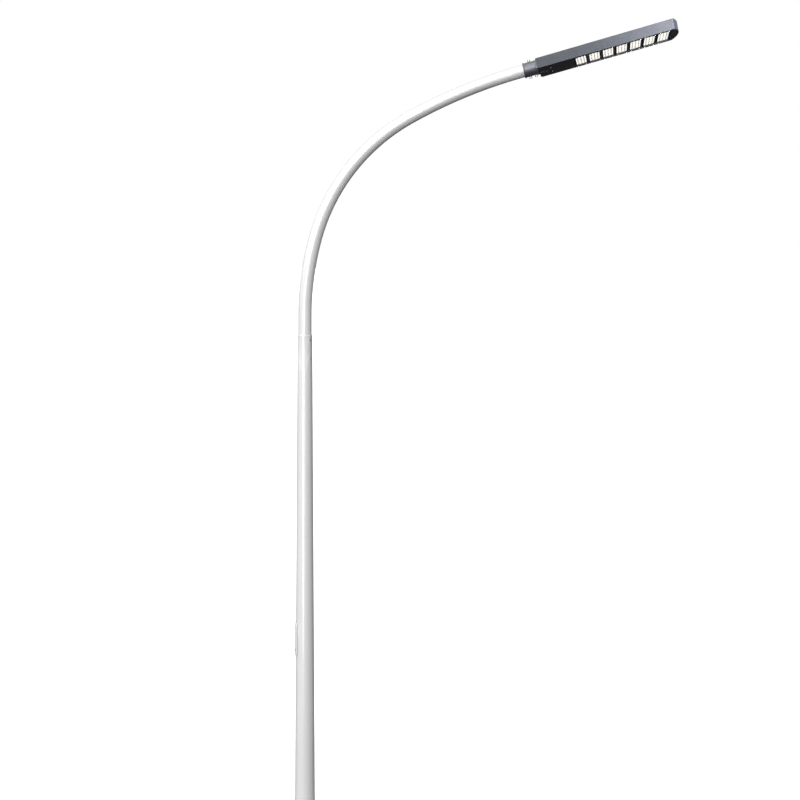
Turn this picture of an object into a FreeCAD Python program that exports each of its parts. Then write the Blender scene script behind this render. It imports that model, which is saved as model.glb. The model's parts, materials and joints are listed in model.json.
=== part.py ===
import FreeCAD, Part
import math
import os
import re
import Sketcher

# Street lamp post: a tapered steel shaft on a bolted base plate, a swept arm, and an LED luminaire
# with seven light modules. Millimetres, +Z up, the arm reaches towards +X and the door faces -X.
# The origin is the centre of the base plate's underside.

Vector = FreeCAD.Vector
Rotation = FreeCAD.Rotation
Placement = FreeCAD.Placement

SIZES = (
    # base plate and gussets
    ("plate_width", 280),
    ("plate_thickness", 14),
    ("plate_corner", 20),
    ("plate_edge", 2),
    ("bolt_spacing", 200),
    ("bolt_hole", 22),
    ("gusset_reach", 62),
    ("gusset_height", 110),
    ("gusset_thickness", 8),
    ("gusset_toe", 15),
    # pole shaft
    ("pole_seat", 4),
    ("pole_top", 2888),
    ("pole_base_diameter", 118),
    ("pole_top_diameter", 78),
    ("pole_wall", 3),
    ("pole_lip", 1.2),
    ("weld_gap", 0.3),
    # door in the shaft, its frame, hinges and lock
    ("door_centre", 1162),
    ("door_height", 197),
    ("door_width", 84),
    ("door_corner", 18),
    ("door_overlap", 8),
    ("door_thickness", 3),
    ("door_gasket", 1.5),
    ("gasket_inset", 1),
    ("gasket_margin", 1.5),
    ("frame_thickness", 5),
    ("frame_width", 12),
    ("hinge_angle", 61),
    ("hinge_spread", 110),
    ("hinge_knuckle", 16),
    ("hinge_radius", 4),
    ("hinge_leaf", 2.2),
    ("hinge_strap", 2.7),
    ("hinge_leaf_reach", 22),
    ("hinge_pin", 4),
    ("hinge_head", 3),
    ("hinge_head_height", 1.5),
    ("hinge_lap", 1),
    ("hinge_play", 0.3),
    ("fit_clearance", 0.05),
    ("lock_drop", 75),
    ("lock_radius", 9),
    ("lock_spindle", 9),
    ("lock_flange", 1.5),
    ("lock_flange_width", 3),
    ("lock_depth", 31.4),
    ("lock_tail", 2),
    ("key_depth", 4),
    ("key_reach", 3.78),
    ("cam_length", 43.5),
    ("cam_width", 12),
    ("cam_thickness", 3),
    # electrical gear behind the door
    ("board_offset", 22),
    ("board_width", 56),
    ("board_height", 160),
    ("board_thickness", 3),
    ("board_boss", 12),
    ("board_bolt", 6),
    ("board_bolt_inset", 14),
    ("board_bolt_grip", 11),
    ("board_bolt_hole", 12),
    ("rail_rise", 22),
    ("din_height", 35),
    ("din_depth", 7.5),
    ("din_sheet", 1.5),
    ("breaker_width", 18),
    ("breaker_height", 80),
    ("breaker_depth", 40),
    ("breaker_nose", 6),
    ("breaker_nose_height", 45),
    ("breaker_side", 16),
    ("toggle_radius", 4.5),
    ("toggle_reach", 13),
    ("toggle_width", 9),
    ("toggle_angle", 35),
    ("terminal_width", 24),
    ("terminal_height", 66),
    ("terminal_depth", 34),
    ("terminal_gap", 2),
    ("stud_diameter", 8),
    ("stud_length", 26),
    ("stud_drop", 40),
    ("stud_gap", 0.5),
    ("stud_nut", 12.8),
    ("stud_nut_height", 6.4),
    ("stud_play", 0.1),
    ("nut_inset", 6),
    ("nut_pitch", 9),
    ("washer_diameter", 16),
    ("washer_thickness", 1.6),
    ("washer_gap", 0.2),
    ("washer_play", 0.3),
    # arm
    ("arm_wall", 3),
    ("arm_fit", 0.3),
    ("arm_insertion", 160),
    ("arm_straight", 102),
    ("bend_one_radius", 1500),
    ("bend_one_angle", 16),
    ("bend_two_radius", 1000),
    ("bend_two_angle", 46),
    ("bend_three_radius", 2550),
    ("bend_three_angle", 13),
    ("arm_tip_diameter", 60),
    ("arm_tip_straight", 30),
    ("spigot_length", 100),
    ("seat_ring_height", 12),
    ("seat_ring_width", 8),
    ("grub_diameter", 8),
    ("grub_edge", 24),
    ("grub_spacing", 100),
    ("cable_diameter", 9),
    # slip fitter
    ("collar_length", 70),
    ("collar_wall", 3.7),
    ("collar_rim", 2.5),
    ("collar_rim_length", 5),
    ("collar_flange", 3),
    ("collar_flange_length", 7),
    ("collar_boss", 14),
    ("collar_boss_rise", 2.5),
    ("boss_root", 1),
    ("collar_screw", 8),
    ("collar_screw_stand", 3),
    ("top_screw", 32),
    ("near_screw", 26),
    ("far_screw", 54),
    # luminaire body
    ("body_width", 300),
    ("body_rise", 18),
    ("body_drop", 30),
    ("end_plate", 6),
    ("end_corner", 4),
    ("end_edge", 1.5),
    ("housing_length", 175),
    ("socket_wall", 5),
    ("socket_depth", 38),
    ("housing_wall", 4),
    ("rail_wall", 4),
    ("rail_sheet", 3),
    ("rail_ledge", 28),
    ("rail_lip", 15),
    ("rail_port", 8),
    ("rail_top_edge", 2.5),
    ("rail_low_edge", 1.2),
    ("assembly_gap", 0.3),
    ("rib_height", 5),
    ("rib_thickness", 3),
    ("rib_pitch", 16),
    ("rib_rows", 7),
    ("rib_start", 12),
    ("rib_socket_gap", 10),
    ("rib_end", 3),
    ("casting_lap", 1),
    ("tool_run", 2),
    ("nose_length", 38),
    ("nose_sweep", 24),
    ("nose_round", 10),
    ("nose_edge", 2.5),
    # light modules
    ("module_count", 7),
    ("module_length", 61),
    ("module_gap", 4),
    ("module_clearance", 1),
    ("module_seat", 15.5),
    ("module_base", 8),
    ("module_edge", 0.8),
    ("fin_count", 7),
    ("fin_thickness", 2.4),
    ("fin_inset", 5),
    ("fin_margin", 20),
    ("window_margin", 6),
    ("window_depth", 4.5),
    ("window_inset", 0.5),
    ("module_skin", 1),
    ("led_board", 1.6),
    ("led_board_inset", 0.8),
    ("lens_thickness", 2),
    ("lens_inset", 0.3),
    # driver compartment and its lid
    ("lid_start", 57),
    ("lid_end", 9),
    ("lid_margin", 4.7),
    ("lid_thickness", 3),
    ("lid_edge", 0.8),
    ("lid_gap", 0.7),
    ("lid_gasket", 1.5),
    ("gasket_width", 4),
    ("bay_start", 71),
    ("bay_end", 17),
    ("bay_margin", 13.7),
    ("lid_hinge_spread", 190),
    ("lid_knuckle", 20),
    ("lid_lug", 5),
    ("lid_barrel", 3.5),
    ("lug_rise", 5),
    ("lid_pin", 4),
    ("hinge_pocket", 4),
    ("lid_screw", 5),
    ("lid_screw_spread", 120),
    ("lid_screw_inset", 4.5),
    ("lid_screw_play", 1),
    ("lid_screw_grip", 6),
    ("lid_screw_hole", 9),
    ("driver_length", 150),
    ("driver_width", 52),
    ("driver_height", 31),
    ("driver_tab", 8),
    ("driver_sheet", 2),
    ("driver_corner", 3),
    ("driver_end_gap", 4),
    ("driver_side_gap", 2),
    ("driver_screw_inset", 3.5),
    ("surge_length", 34),
    ("surge_width", 40),
    ("surge_height", 28),
    ("surge_corner", 2),
    ("surge_gap", 6),
    ("block_length", 16),
    ("block_width", 40),
    ("block_height", 20),
    ("block_rise", 4),
    ("block_corner", 1),
    ("gland_radius", 9),
    ("gland_step", 2),
    ("gland_tail", 2.5),
    ("screw_diameter", 4),
    ("screw_head", 8),
    ("screw_head_height", 2.4),
    ("screw_length", 9),
    ("socket_share", 0.6),
)

# Sizes that follow from the ones above.
DERIVED = (
    ("pole_taper", "(pole_base_diameter - pole_top_diameter) / 2 / (pole_top - pole_seat)"),
    ("opening_width", "door_width - 2 * door_overlap"),
    ("opening_height", "door_height - 2 * door_overlap"),
    ("opening_corner", "door_corner - door_overlap / 2"),
    ("arm_diameter", "pole_top_diameter - 2 * pole_wall - 2 * arm_fit"),
    ("bend_start", "pole_top + arm_straight"),
    ("turn_two", "bend_one_angle + bend_two_angle"),
    ("turn_three", "turn_two + bend_three_angle"),
    ("tilt", "90 - turn_three"),
    ("bend_one_x", "bend_one_radius * (1 - cos(bend_one_angle))"),
    ("bend_one_z", "bend_start + bend_one_radius * sin(bend_one_angle)"),
    ("bend_two_x", "bend_one_x + bend_two_radius * (cos(bend_one_angle) - cos(turn_two))"),
    ("bend_two_z", "bend_one_z + bend_two_radius * (sin(turn_two) - sin(bend_one_angle))"),
    ("bend_three_x", "bend_two_x + bend_three_radius * (cos(turn_two) - cos(turn_three))"),
    ("bend_three_z", "bend_two_z + bend_three_radius * (sin(turn_three) - sin(turn_two))"),
    ("tip_x", "bend_three_x + arm_tip_straight * cos(tilt)"),
    ("tip_z", "bend_three_z + arm_tip_straight * sin(tilt)"),
    ("housing_end", "collar_length + housing_length"),
    ("rails_start", "collar_length + end_plate"),
    ("modules_start", "housing_end + module_clearance"),
    ("module_pitch", "module_length + module_gap"),
    ("fin_pitch", "(module_length - 2 * fin_inset) / (fin_count - 1)"),
    ("window_length", "module_length - 2 * window_margin"),
    ("window_width", "body_width - 2 * (rail_ledge + window_inset)"),
    ("nose_start", "modules_start + (module_count - 1) * module_pitch + module_length"
                   " + 3 * module_clearance"),
    ("housing_half", "body_width / 2 - rail_ledge - assembly_gap"),
    ("ledge_level", "rail_sheet - body_drop"),
    ("bay_ceiling", "body_rise - housing_wall"),
    ("socket_radius", "arm_tip_diameter / 2 + arm_fit"),
    ("collar_diameter", "2 * (socket_radius + collar_wall)"),
    ("gland_neck", "gland_radius - gland_step"),
    ("lid_axis_x", "housing_end - lid_end + lid_thickness / 2"),
    ("lid_axis_z", "lid_thickness / 2 - body_drop"),
)

# The luminaire's own frame: its origin is where the arm enters the slip fitter, x runs outwards
# along the luminaire and z is square to its underside.
ON_ARM = "placement(vector({x}; {y}; {z}); rotation(vector(0; 1; 0); -tilt))"

doc = FreeCAD.newDocument("street_lamp_post")
sizes = doc.addObject("Spreadsheet::Sheet", "sizes")
derived = doc.addObject("App::VarSet", "derived")
SCOPE = {}
PARTS = []


# ---- sizes and expressions ---------------------------------------------------------------------

def scoped(formula):
    """Write out where each size named in a formula is kept."""
    return re.sub(r"[a-z][a-z_]*", lambda word: SCOPE.get(word.group(), word.group()), str(formula))


def value(formula):
    """The present value of a formula."""
    return float(sizes.evalExpression(scoped(formula)))


def bind(thing, **formulas):
    """Bind properties of an object to formulas of the sheet's sizes."""
    for name, formula in formulas.items():
        thing.setExpression(name.replace("__", "."), scoped(formula))


def fill_sheet():
    """Put every driving size in the sheet and every derived one beside it."""
    for row, (name, number) in enumerate(SIZES, start=1):
        sizes.set("A%d" % row, name)
        sizes.set("B%d" % row, str(number))
        sizes.setAlias("B%d" % row, name)
        SCOPE[name] = "sizes." + name
    doc.recompute()
    for name, formula in DERIVED:
        derived.addProperty("App::PropertyFloat", name)
        derived.setExpression(name, scoped(formula))
        SCOPE[name] = "derived." + name
        doc.recompute()


def pole_radius(height):
    """Formula for the shaft's outer radius at a height."""
    return "(pole_base_diameter / 2 - pole_taper * ((%s) - pole_seat))" % height


# ---- sketches ----------------------------------------------------------------------------------

class Outline:
    """A sketch on one of its body's origin planes, whose points all follow the sheet."""

    def __init__(self, body, plane, offset="0"):
        self.sketch = body.newObject("Sketcher::SketchObject", body.Label + "_outline")
        planes = [feature for feature in body.Origin.OriginFeatures if feature.Role == plane]
        self.sketch.AttachmentSupport = [(planes[0], "")]
        self.sketch.MapMode = "FlatFace"
        bind(self.sketch, AttachmentOffset__Base__z=offset)

    def limit(self, kind, formula, *where):
        """Add one constraint that a formula drives."""
        number = self.sketch.addConstraint(Sketcher.Constraint(kind, *where, value(formula)))
        self.sketch.setExpression("Constraints[%d]" % number, scoped(formula))

    def pin(self, geometry, end, point):
        """Hold one end of a piece of geometry at a point given by two formulas."""
        self.limit("DistanceX", point[0], -1, 1, geometry, end)
        self.limit("DistanceY", point[1], -1, 1, geometry, end)

    def join(self, first, first_end, second, second_end):
        """Make two ends meet."""
        self.sketch.addConstraint(
            Sketcher.Constraint("Coincident", first, first_end, second, second_end))

    def line(self, start, end):
        """A straight edge between two points given by formulas."""
        return self.sketch.addGeometry(Part.LineSegment(spot(start), spot(end)), False)

    def arc(self, centre, start, end, radius):
        """An anticlockwise arc; its ends are joined or pinned by the caller."""
        middle = spot(centre)
        circle = Part.Circle(middle, Vector(0, 0, 1), value(radius))
        angles = [math.atan2(spot(tip).y - middle.y, spot(tip).x - middle.x) for tip in (start, end)]
        if angles[1] < angles[0]:
            angles[1] += 2 * math.pi
        piece = self.sketch.addGeometry(Part.ArcOfCircle(circle, *angles), False)
        self.limit("Radius", radius, piece)
        return piece

    def polygon(self, points):
        """A closed outline of straight edges."""
        edges = [self.line(start, end) for start, end in zip(points, points[1:] + points[:1])]
        for edge, following in zip(edges, edges[1:] + edges[:1]):
            self.join(edge, 2, following, 1)
        for edge, point in zip(edges, points):
            self.pin(edge, 1, point)

    def rectangle(self, low, high):
        """A rectangle between two corners."""
        self.polygon((low, (high[0], low[1]), high, (low[0], high[1])))

    def rounded(self, low, high, radius):
        """A rectangle with round corners."""
        (left, bottom), (right, top) = low, high
        inner = [("%s + %s" % (left, radius), "%s + %s" % (bottom, radius)),
                 ("%s - %s" % (right, radius), "%s + %s" % (bottom, radius)),
                 ("%s - %s" % (right, radius), "%s - %s" % (top, radius)),
                 ("%s + %s" % (left, radius), "%s - %s" % (top, radius))]
        sides = [((inner[0][0], bottom), (inner[1][0], bottom)),
                 ((right, inner[1][1]), (right, inner[2][1])),
                 ((inner[2][0], top), (inner[3][0], top)),
                 ((left, inner[3][1]), (left, inner[0][1]))]
        edges = [self.line(*side) for side in sides]
        for edge, side in zip(edges, sides):
            self.pin(edge, 1, side[0])
            self.pin(edge, 2, side[1])
        for number in range(4):
            following = (number + 1) % 4
            bend = self.arc(inner[following], sides[number][1], sides[following][0], radius)
            self.join(bend, 1, edges[number], 2)
            self.join(bend, 2, edges[following], 1)

    def circle(self, centre, diameter):
        """A full circle."""
        ring = Part.Circle(spot(centre), Vector(0, 0, 1), value(diameter) / 2)
        piece = self.sketch.addGeometry(ring, False)
        self.limit("Diameter", diameter, piece)
        self.pin(piece, 3, centre)

    def hexagon(self, centre, across_flats):
        """A regular hexagon, flat side up."""
        corners = []
        for number in range(6):
            reach = "(%s) / 2 / cos(30)" % across_flats
            corners.append(("%s + %s * cos(%d)" % (centre[0], reach, 60 * number),
                            "%s + %s * sin(%d)" % (centre[1], reach, 60 * number)))
        self.polygon(corners)


def spot(point):
    """The present place of a point given by two formulas."""
    return Vector(value(point[0]), value(point[1]), 0)


# ---- features ----------------------------------------------------------------------------------

def new_body(label, kept=True):
    """A body; kept ones are pieces of the post, the others only shape them."""
    body = doc.addObject("PartDesign::Body", label)
    body.Label = label
    if kept:
        PARTS.append(body)
    return body


def keep(thing, label):
    """Name a finished piece of the post."""
    thing.Label = label
    PARTS.append(thing)
    return thing


def pad(body, outline, length, both=False, back=False):
    """Raise a sketch into a solid."""
    feature = body.newObject("PartDesign::Pad", body.Label + "_pad")
    feature.Profile = outline.sketch
    feature.Midplane = both
    feature.Reversed = back
    bind(feature, Length=length)
    doc.recompute()
    return feature


def cut(body, outline, length, both=False, back=False):
    """Cut a sketch out of a body and make sure that it took something away."""
    before = body.Shape.Volume
    feature = body.newObject("PartDesign::Pocket", body.Label + "_pocket")
    feature.Profile = outline.sketch
    feature.Midplane = both
    feature.Reversed = back
    bind(feature, Length=length)
    doc.recompute()
    assert body.Shape.Volume < before - 1e-3, "%s: a pocket cuts nothing" % body.Label
    return feature


def turn(body, outline, axis="V_Axis"):
    """Turn a sketch round an axis into a solid."""
    feature = body.newObject("PartDesign::Revolution", body.Label + "_turned")
    feature.Profile = outline.sketch
    feature.ReferenceAxis = (outline.sketch, [axis])
    feature.Angle = 360
    doc.recompute()
    return feature


def soften(body, feature, radius, chosen):
    """Round the edges that a test picks, by their boxes, from the body's present shape."""
    edges = ["Edge%d" % number for number, edge in enumerate(body.Shape.Edges, start=1)
             if chosen(edge.BoundBox)]
    rounding = body.newObject("PartDesign::Fillet", body.Label + "_rounding")
    rounding.Base = (feature, edges)
    bind(rounding, Radius=radius)
    doc.recompute()
    return rounding


def flat_at(size, level):
    """Whether a box's side, such as its z extent (low, high), lies in a plane."""
    low, high = size
    return abs(low - level) < 0.01 and abs(high - level) < 0.01


def ring_pattern(body, feature, count):
    """Repeat a feature round the body's vertical axis."""
    axis = [line for line in body.Origin.OriginFeatures if line.Role == "Z_Axis"][0]
    pattern = body.newObject("PartDesign::PolarPattern", body.Label + "_ring")
    pattern.Originals = [feature]
    pattern.Axis = (axis, [""])
    pattern.Angle = 360
    pattern.Occurrences = count
    body.Tip = pattern
    doc.recompute()
    return pattern


def cylinder(name, radius, length, place="0; 0; 0", axis="0; 0; 1", angle="0"):
    """A round bar, from a place along the turned +Z direction."""
    bar = doc.addObject("Part::Cylinder", name)
    bind(bar, Radius=radius, Height=length,
         Placement="placement(vector(%s); rotation(vector(%s); %s))" % (place, axis, angle))
    return bar


def box(name, low, high):
    """A block between two corners given by formulas."""
    block = doc.addObject("Part::Box", name)
    lengths = ["(%s) - (%s)" % (end, start) for start, end in zip(low, high)]
    bind(block, Length=lengths[0], Width=lengths[1], Height=lengths[2],
         Placement="placement(vector(%s; %s; %s); rotation(vector(0; 0; 1); 0))" % tuple(low))
    return block


def boolean(kind, name, *shapes):
    """A Part cut, or a fuse or common of any number of shapes."""
    if kind == "Cut":
        result = doc.addObject("Part::Cut", name)
        result.Base, result.Tool = shapes
    else:
        result = doc.addObject("Part::Multi" + kind, name)
        result.Shapes = list(shapes)
    return result


def group(name, *shapes):
    """Several separate solids as one piece of the post."""
    result = doc.addObject("Part::Compound", name)
    result.Links = list(shapes)
    return result


def pole_shell(name, inner, outer, low, high):
    """A shell that runs parallel to the shaft's outer face, between two offsets from it."""
    cones = []
    for side, offset in (("inner", inner), ("outer", outer)):
        cone = doc.addObject("Part::Cone", "%s_%s" % (name, side))
        bind(cone, Radius1="%s + %s" % (pole_radius(low), offset),
             Radius2="%s + %s" % (pole_radius(high), offset),
             Height="(%s) - (%s)" % (high, low), Placement__Base__z=low)
        cones.append(cone)
    return boolean("Cut", name, cones[1], cones[0])


def door_prism(name, width, height, corner):
    """A bar through the shaft's -X side with the outline of the door or its opening."""
    prism = new_body(name, kept=False)
    face = Outline(prism, "YZ_Plane")
    face.rounded(("-(%s) / 2" % width, "door_centre - (%s) / 2" % height),
                 ("(%s) / 2" % width, "door_centre + (%s) / 2" % height), corner)
    pad(prism, face, "pole_base_diameter", back=True)
    return prism


def on_arm(thing, x="0", y="0", z="0"):
    """Place a piece that is drawn in the luminaire's own frame."""
    place = {"x": "tip_x + (%s) * cos(tilt) - (%s) * sin(tilt)" % (x, z), "y": y,
             "z": "tip_z + (%s) * sin(tilt) + (%s) * cos(tilt)" % (x, z)}
    thing.setExpression("Placement", scoped(ON_ARM.format(**place)))
    return thing


def arm_frame():
    """The luminaire's own frame as a placement."""
    tip = Vector(value("tip_x"), 0, value("tip_z"))
    return Placement(tip, Rotation(Vector(0, 1, 0), -value("tilt")))


def copies(label, master, places):
    """Separate copies of one fastener, as one piece of the post."""
    doc.recompute()
    solids = []
    for place in places:
        solid = master.Shape.copy()
        solid.Placement = place.multiply(master.Placement)
        solids.append(solid)
    piece = doc.addObject("Part::Feature", label)
    piece.Shape = Part.makeCompound(solids)
    return keep(piece, label)


# ---- base --------------------------------------------------------------------------------------

def base_plate():
    """Square plate with four bolt holes; the shaft stands in its central bore."""
    body = new_body("base_plate")
    face = Outline(body, "XY_Plane")
    face.rounded(("-plate_width / 2", "-plate_width / 2"), ("plate_width / 2", "plate_width / 2"),
                 "plate_corner")
    face.circle(("0", "0"), "pole_base_diameter + 2 * weld_gap")
    for across in ("-", ""):
        for along in ("-", ""):
            face.circle((across + "bolt_spacing / 2", along + "bolt_spacing / 2"), "bolt_hole")
    blank = pad(body, face, "plate_thickness")
    top, rim = value("plate_thickness"), value("plate_width / 2 - 1")
    soften(body, blank, "plate_edge",
           lambda edge: flat_at((edge.ZMin, edge.ZMax), top)
           and max(-edge.XMin, edge.XMax, -edge.YMin, edge.YMax) > rim)


def base_gussets():
    """Four ribs that stiffen the joint between plate and shaft."""
    body = new_body("base_gussets")
    body.AllowCompound = True
    top = "plate_thickness + gusset_height"
    foot = "%s + weld_gap" % pole_radius("plate_thickness")
    face = Outline(body, "XZ_Plane")
    face.polygon(((foot, "plate_thickness"),
                  ("%s + gusset_reach" % foot, "plate_thickness"),
                  ("%s + gusset_reach" % foot, "plate_thickness + gusset_toe"),
                  ("%s + weld_gap + gusset_toe" % pole_radius(top), top),
                  ("%s + weld_gap" % pole_radius(top), top)))
    rib = pad(body, face, "gusset_thickness", both=True)
    ring_pattern(body, rib, 4)


# ---- shaft, door frame and arm seat ------------------------------------------------------------

def pole_shaft():
    """Tapered tube with the door's opening and the holes of the arm's grub screws."""
    body = new_body("pole_shaft")
    wall = Outline(body, "XZ_Plane")
    wall.polygon((("pole_base_diameter / 2 - pole_wall", "pole_seat"),
                  ("pole_base_diameter / 2", "pole_seat"),
                  ("pole_top_diameter / 2", "pole_top - pole_lip"),
                  ("pole_top_diameter / 2 - pole_lip", "pole_top"),
                  ("pole_top_diameter / 2 - pole_wall", "pole_top")))
    turn(body, wall)
    opening = Outline(body, "YZ_Plane")
    opening.rounded(("-opening_width / 2", "door_centre - opening_height / 2"),
                    ("opening_width / 2", "door_centre + opening_height / 2"), "opening_corner")
    cut(body, opening, "pole_base_diameter")
    holes = Outline(body, "XZ_Plane")
    for drop in ("grub_edge", "grub_edge + grub_spacing"):
        holes.circle(("0", "pole_top - (%s)" % drop), "grub_diameter + 2 * fit_clearance")
    ring_pattern(body, cut(body, holes, "pole_base_diameter"), 3)


def door_frame():
    """Welded frame that stiffens the shaft behind the edge of the door's opening."""
    shell = pole_shell("frame_shell", "-(pole_wall + weld_gap + frame_thickness)",
                       "-(pole_wall + weld_gap)", "door_centre - door_height", "door_centre + door_height")
    outer = door_prism("frame_outer", "opening_width + frame_width", "opening_height + 2 * frame_width",
                       "opening_corner + frame_width / 2")
    inner = door_prism("frame_inner", "opening_width", "opening_height", "opening_corner")
    ring = boolean("Cut", "frame_ring", outer, inner)
    keep(boolean("Common", "door_frame", shell, ring), "door_frame")


def arm_seat_ring():
    """Ring welded inside the shaft, on which the foot of the arm stands."""
    body = new_body("arm_seat_ring")
    top = "pole_top - arm_insertion"
    low = "pole_top - arm_insertion - seat_ring_height"
    profile = Outline(body, "XZ_Plane")
    profile.polygon((("%s - pole_wall - seat_ring_width" % pole_radius(low), low),
                     ("%s - pole_wall - weld_gap" % pole_radius(low), low),
                     ("%s - pole_wall - weld_gap" % pole_radius(top), top),
                     ("%s - pole_wall - seat_ring_width" % pole_radius(low), top)))
    turn(body, profile)


# ---- arm ---------------------------------------------------------------------------------------

def arm_path(name, foot, reach):
    """The arm's centre line: upright, three bends that run into each other, and straight."""
    host = new_body(name, kept=False)
    path = Outline(host, "XZ_Plane")
    end = ("tip_x + (%s) * cos(tilt)" % reach, "tip_z + (%s) * sin(tilt)" % reach)
    joints = (("0", "bend_start"), ("bend_one_x", "bend_one_z"),
              ("bend_two_x", "bend_two_z"), ("bend_three_x", "bend_three_z"))
    bends = (("bend_one_radius", "0"), ("bend_two_radius", "bend_one_angle"),
             ("bend_three_radius", "turn_two"))
    upright = path.line(("0", foot), joints[0])
    path.pin(upright, 1, ("0", foot))
    path.pin(upright, 2, joints[0])
    previous = (upright, 2)
    for (radius, heading), start, stop in zip(bends, joints, joints[1:]):
        centre = ("%s + %s * cos(%s)" % (start[0], radius, heading),
                  "%s - %s * sin(%s)" % (start[1], radius, heading))
        bend = path.arc(centre, stop, start, radius)
        path.join(bend, 2, *previous)
        path.pin(bend, 1, stop)
        previous = (bend, 1)
    straight = path.line(joints[3], end)
    path.join(straight, 1, *previous)
    path.pin(straight, 2, end)
    doc.recompute()
    return path.sketch


def arm_core(name, path, inset):
    """The arm as a solid bar, tapered over its bends; inset makes it thinner all round."""
    foot = cylinder(name + "_foot", "arm_diameter / 2 - %s" % inset, "arm_insertion + arm_straight",
                    "0; 0; pole_top - arm_insertion")
    spigot = cylinder(name + "_spigot", "arm_tip_diameter / 2 - %s" % inset,
                      "arm_tip_straight + spigot_length", "bend_three_x; 0; bend_three_z",
                      "0; 1; 0", "turn_three")
    ends = []
    for diameter, place, angle in (("arm_diameter", "0; 0; bend_start", "0"),
                                   ("arm_tip_diameter", "bend_three_x; 0; bend_three_z", "turn_three")):
        ring = doc.addObject("Part::Circle", name + "_ring")
        bind(ring, Radius="%s / 2 - %s" % (diameter, inset),
             Placement="placement(vector(%s); rotation(vector(0; 1; 0); %s))" % (place, angle))
        ends.append(ring)
    bends = doc.addObject("Part::Sweep", name + "_bends")
    bends.Sections = ends
    bends.Spine = (path, ["Edge2", "Edge3", "Edge4"])
    bends.Solid = True
    bends.Frenet = False
    return boolean("Fuse", name, foot, bends, spigot)


def arm_tube():
    """Tapered tube that leaves the shaft upright and ends in a straight spigot."""
    path = arm_path("arm_path", "pole_top - arm_insertion", "spigot_length")
    keep(boolean("Cut", "arm_tube", arm_core("arm_outer", path, "0"),
                 arm_core("arm_inner", path, "arm_wall")), "arm_tube")


def arm_grub_screws():
    """Two rings of three grub screws that clamp the arm in the shaft."""
    master = new_body("grub_master", kept=False)
    shank = Outline(master, "XY_Plane")
    shank.circle(("0", "0"), "grub_diameter")
    length = "pole_top_diameter / 2 - arm_diameter / 2 + pole_taper * (grub_edge + grub_spacing)"
    pad(master, shank, length)
    socket = Outline(master, "XY_Plane", length)
    socket.hexagon(("0", "0"), "grub_diameter / 2")
    cut(master, socket, "pole_wall / 2")
    places = []
    for drop in ("grub_edge", "grub_edge + grub_spacing"):
        for number in range(3):
            level = Vector(0, 0, value("pole_top - (%s)" % drop))
            turned = Rotation(Vector(0, 0, 1), 120 * number)
            outward = Placement(Vector(0, value("arm_diameter / 2 + weld_gap / 2"), 0),
                                Rotation(Vector(1, 0, 0), -90))
            places.append(Placement(level, turned).multiply(outward))
    copies("arm_grub_screws", master, places)


def riser_cable():
    """Supply cable, from the pole terminals up the arm to the luminaire's terminals."""
    path = arm_path("cable_path", "door_centre + rail_rise + terminal_height / 2",
                    "collar_length + bay_start + 2 * gland_radius / 3 + weld_gap")
    ring = doc.addObject("Part::Circle", "cable_ring")
    bind(ring, Radius="cable_diameter / 2",
         Placement__Base__z="door_centre + rail_rise + terminal_height / 2")
    cable = doc.addObject("Part::Sweep", "riser_cable")
    cable.Sections = [ring]
    cable.Spine = (path, ["Edge%d" % number for number in range(1, 6)])
    cable.Solid = True
    keep(cable, "riser_cable")


# ---- door --------------------------------------------------------------------------------------

DOOR_INNER = "door_gasket"
DOOR_OUTER = "door_gasket + door_thickness"


def door_panel():
    """Cover that follows the shaft's curve and laps over the opening all round."""
    shell = pole_shell("panel_shell", DOOR_INNER, DOOR_OUTER, "door_centre - door_height",
                       "door_centre + door_height")
    prism = door_prism("panel_prism", "door_width", "door_height", "door_corner")
    blank = boolean("Common", "panel_blank", shell, prism)
    hole = cylinder("panel_hole", "lock_radius + fit_clearance", "pole_base_diameter",
                    "0; 0; door_centre - lock_drop", "0; 1; 0", "-90")
    keep(boolean("Cut", "door_panel", blank, hole), "door_panel")


def door_gasket():
    """Seal on the cover's rim."""
    shell = pole_shell("gasket_shell", "weld_gap", DOOR_INNER, "door_centre - door_height",
                       "door_centre + door_height")
    outer = door_prism("gasket_outer", "door_width - 2 * gasket_inset", "door_height - 2 * gasket_inset",
                       "door_corner - gasket_inset")
    inner = door_prism("gasket_inner", "opening_width + 2 * gasket_margin",
                       "opening_height + 2 * gasket_margin", "opening_corner + gasket_margin")
    ring = boolean("Cut", "gasket_ring", outer, inner)
    keep(boolean("Common", "door_gasket", shell, ring), "door_gasket")


def hinge_place():
    """Formulas for the door hinge's axis, outside the cover's +Y edge."""
    reach = "(%s + hinge_leaf + hinge_radius)" % pole_radius("door_centre")
    return "-%s * cos(hinge_angle)" % reach, "%s * sin(hinge_angle)" % reach


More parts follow.
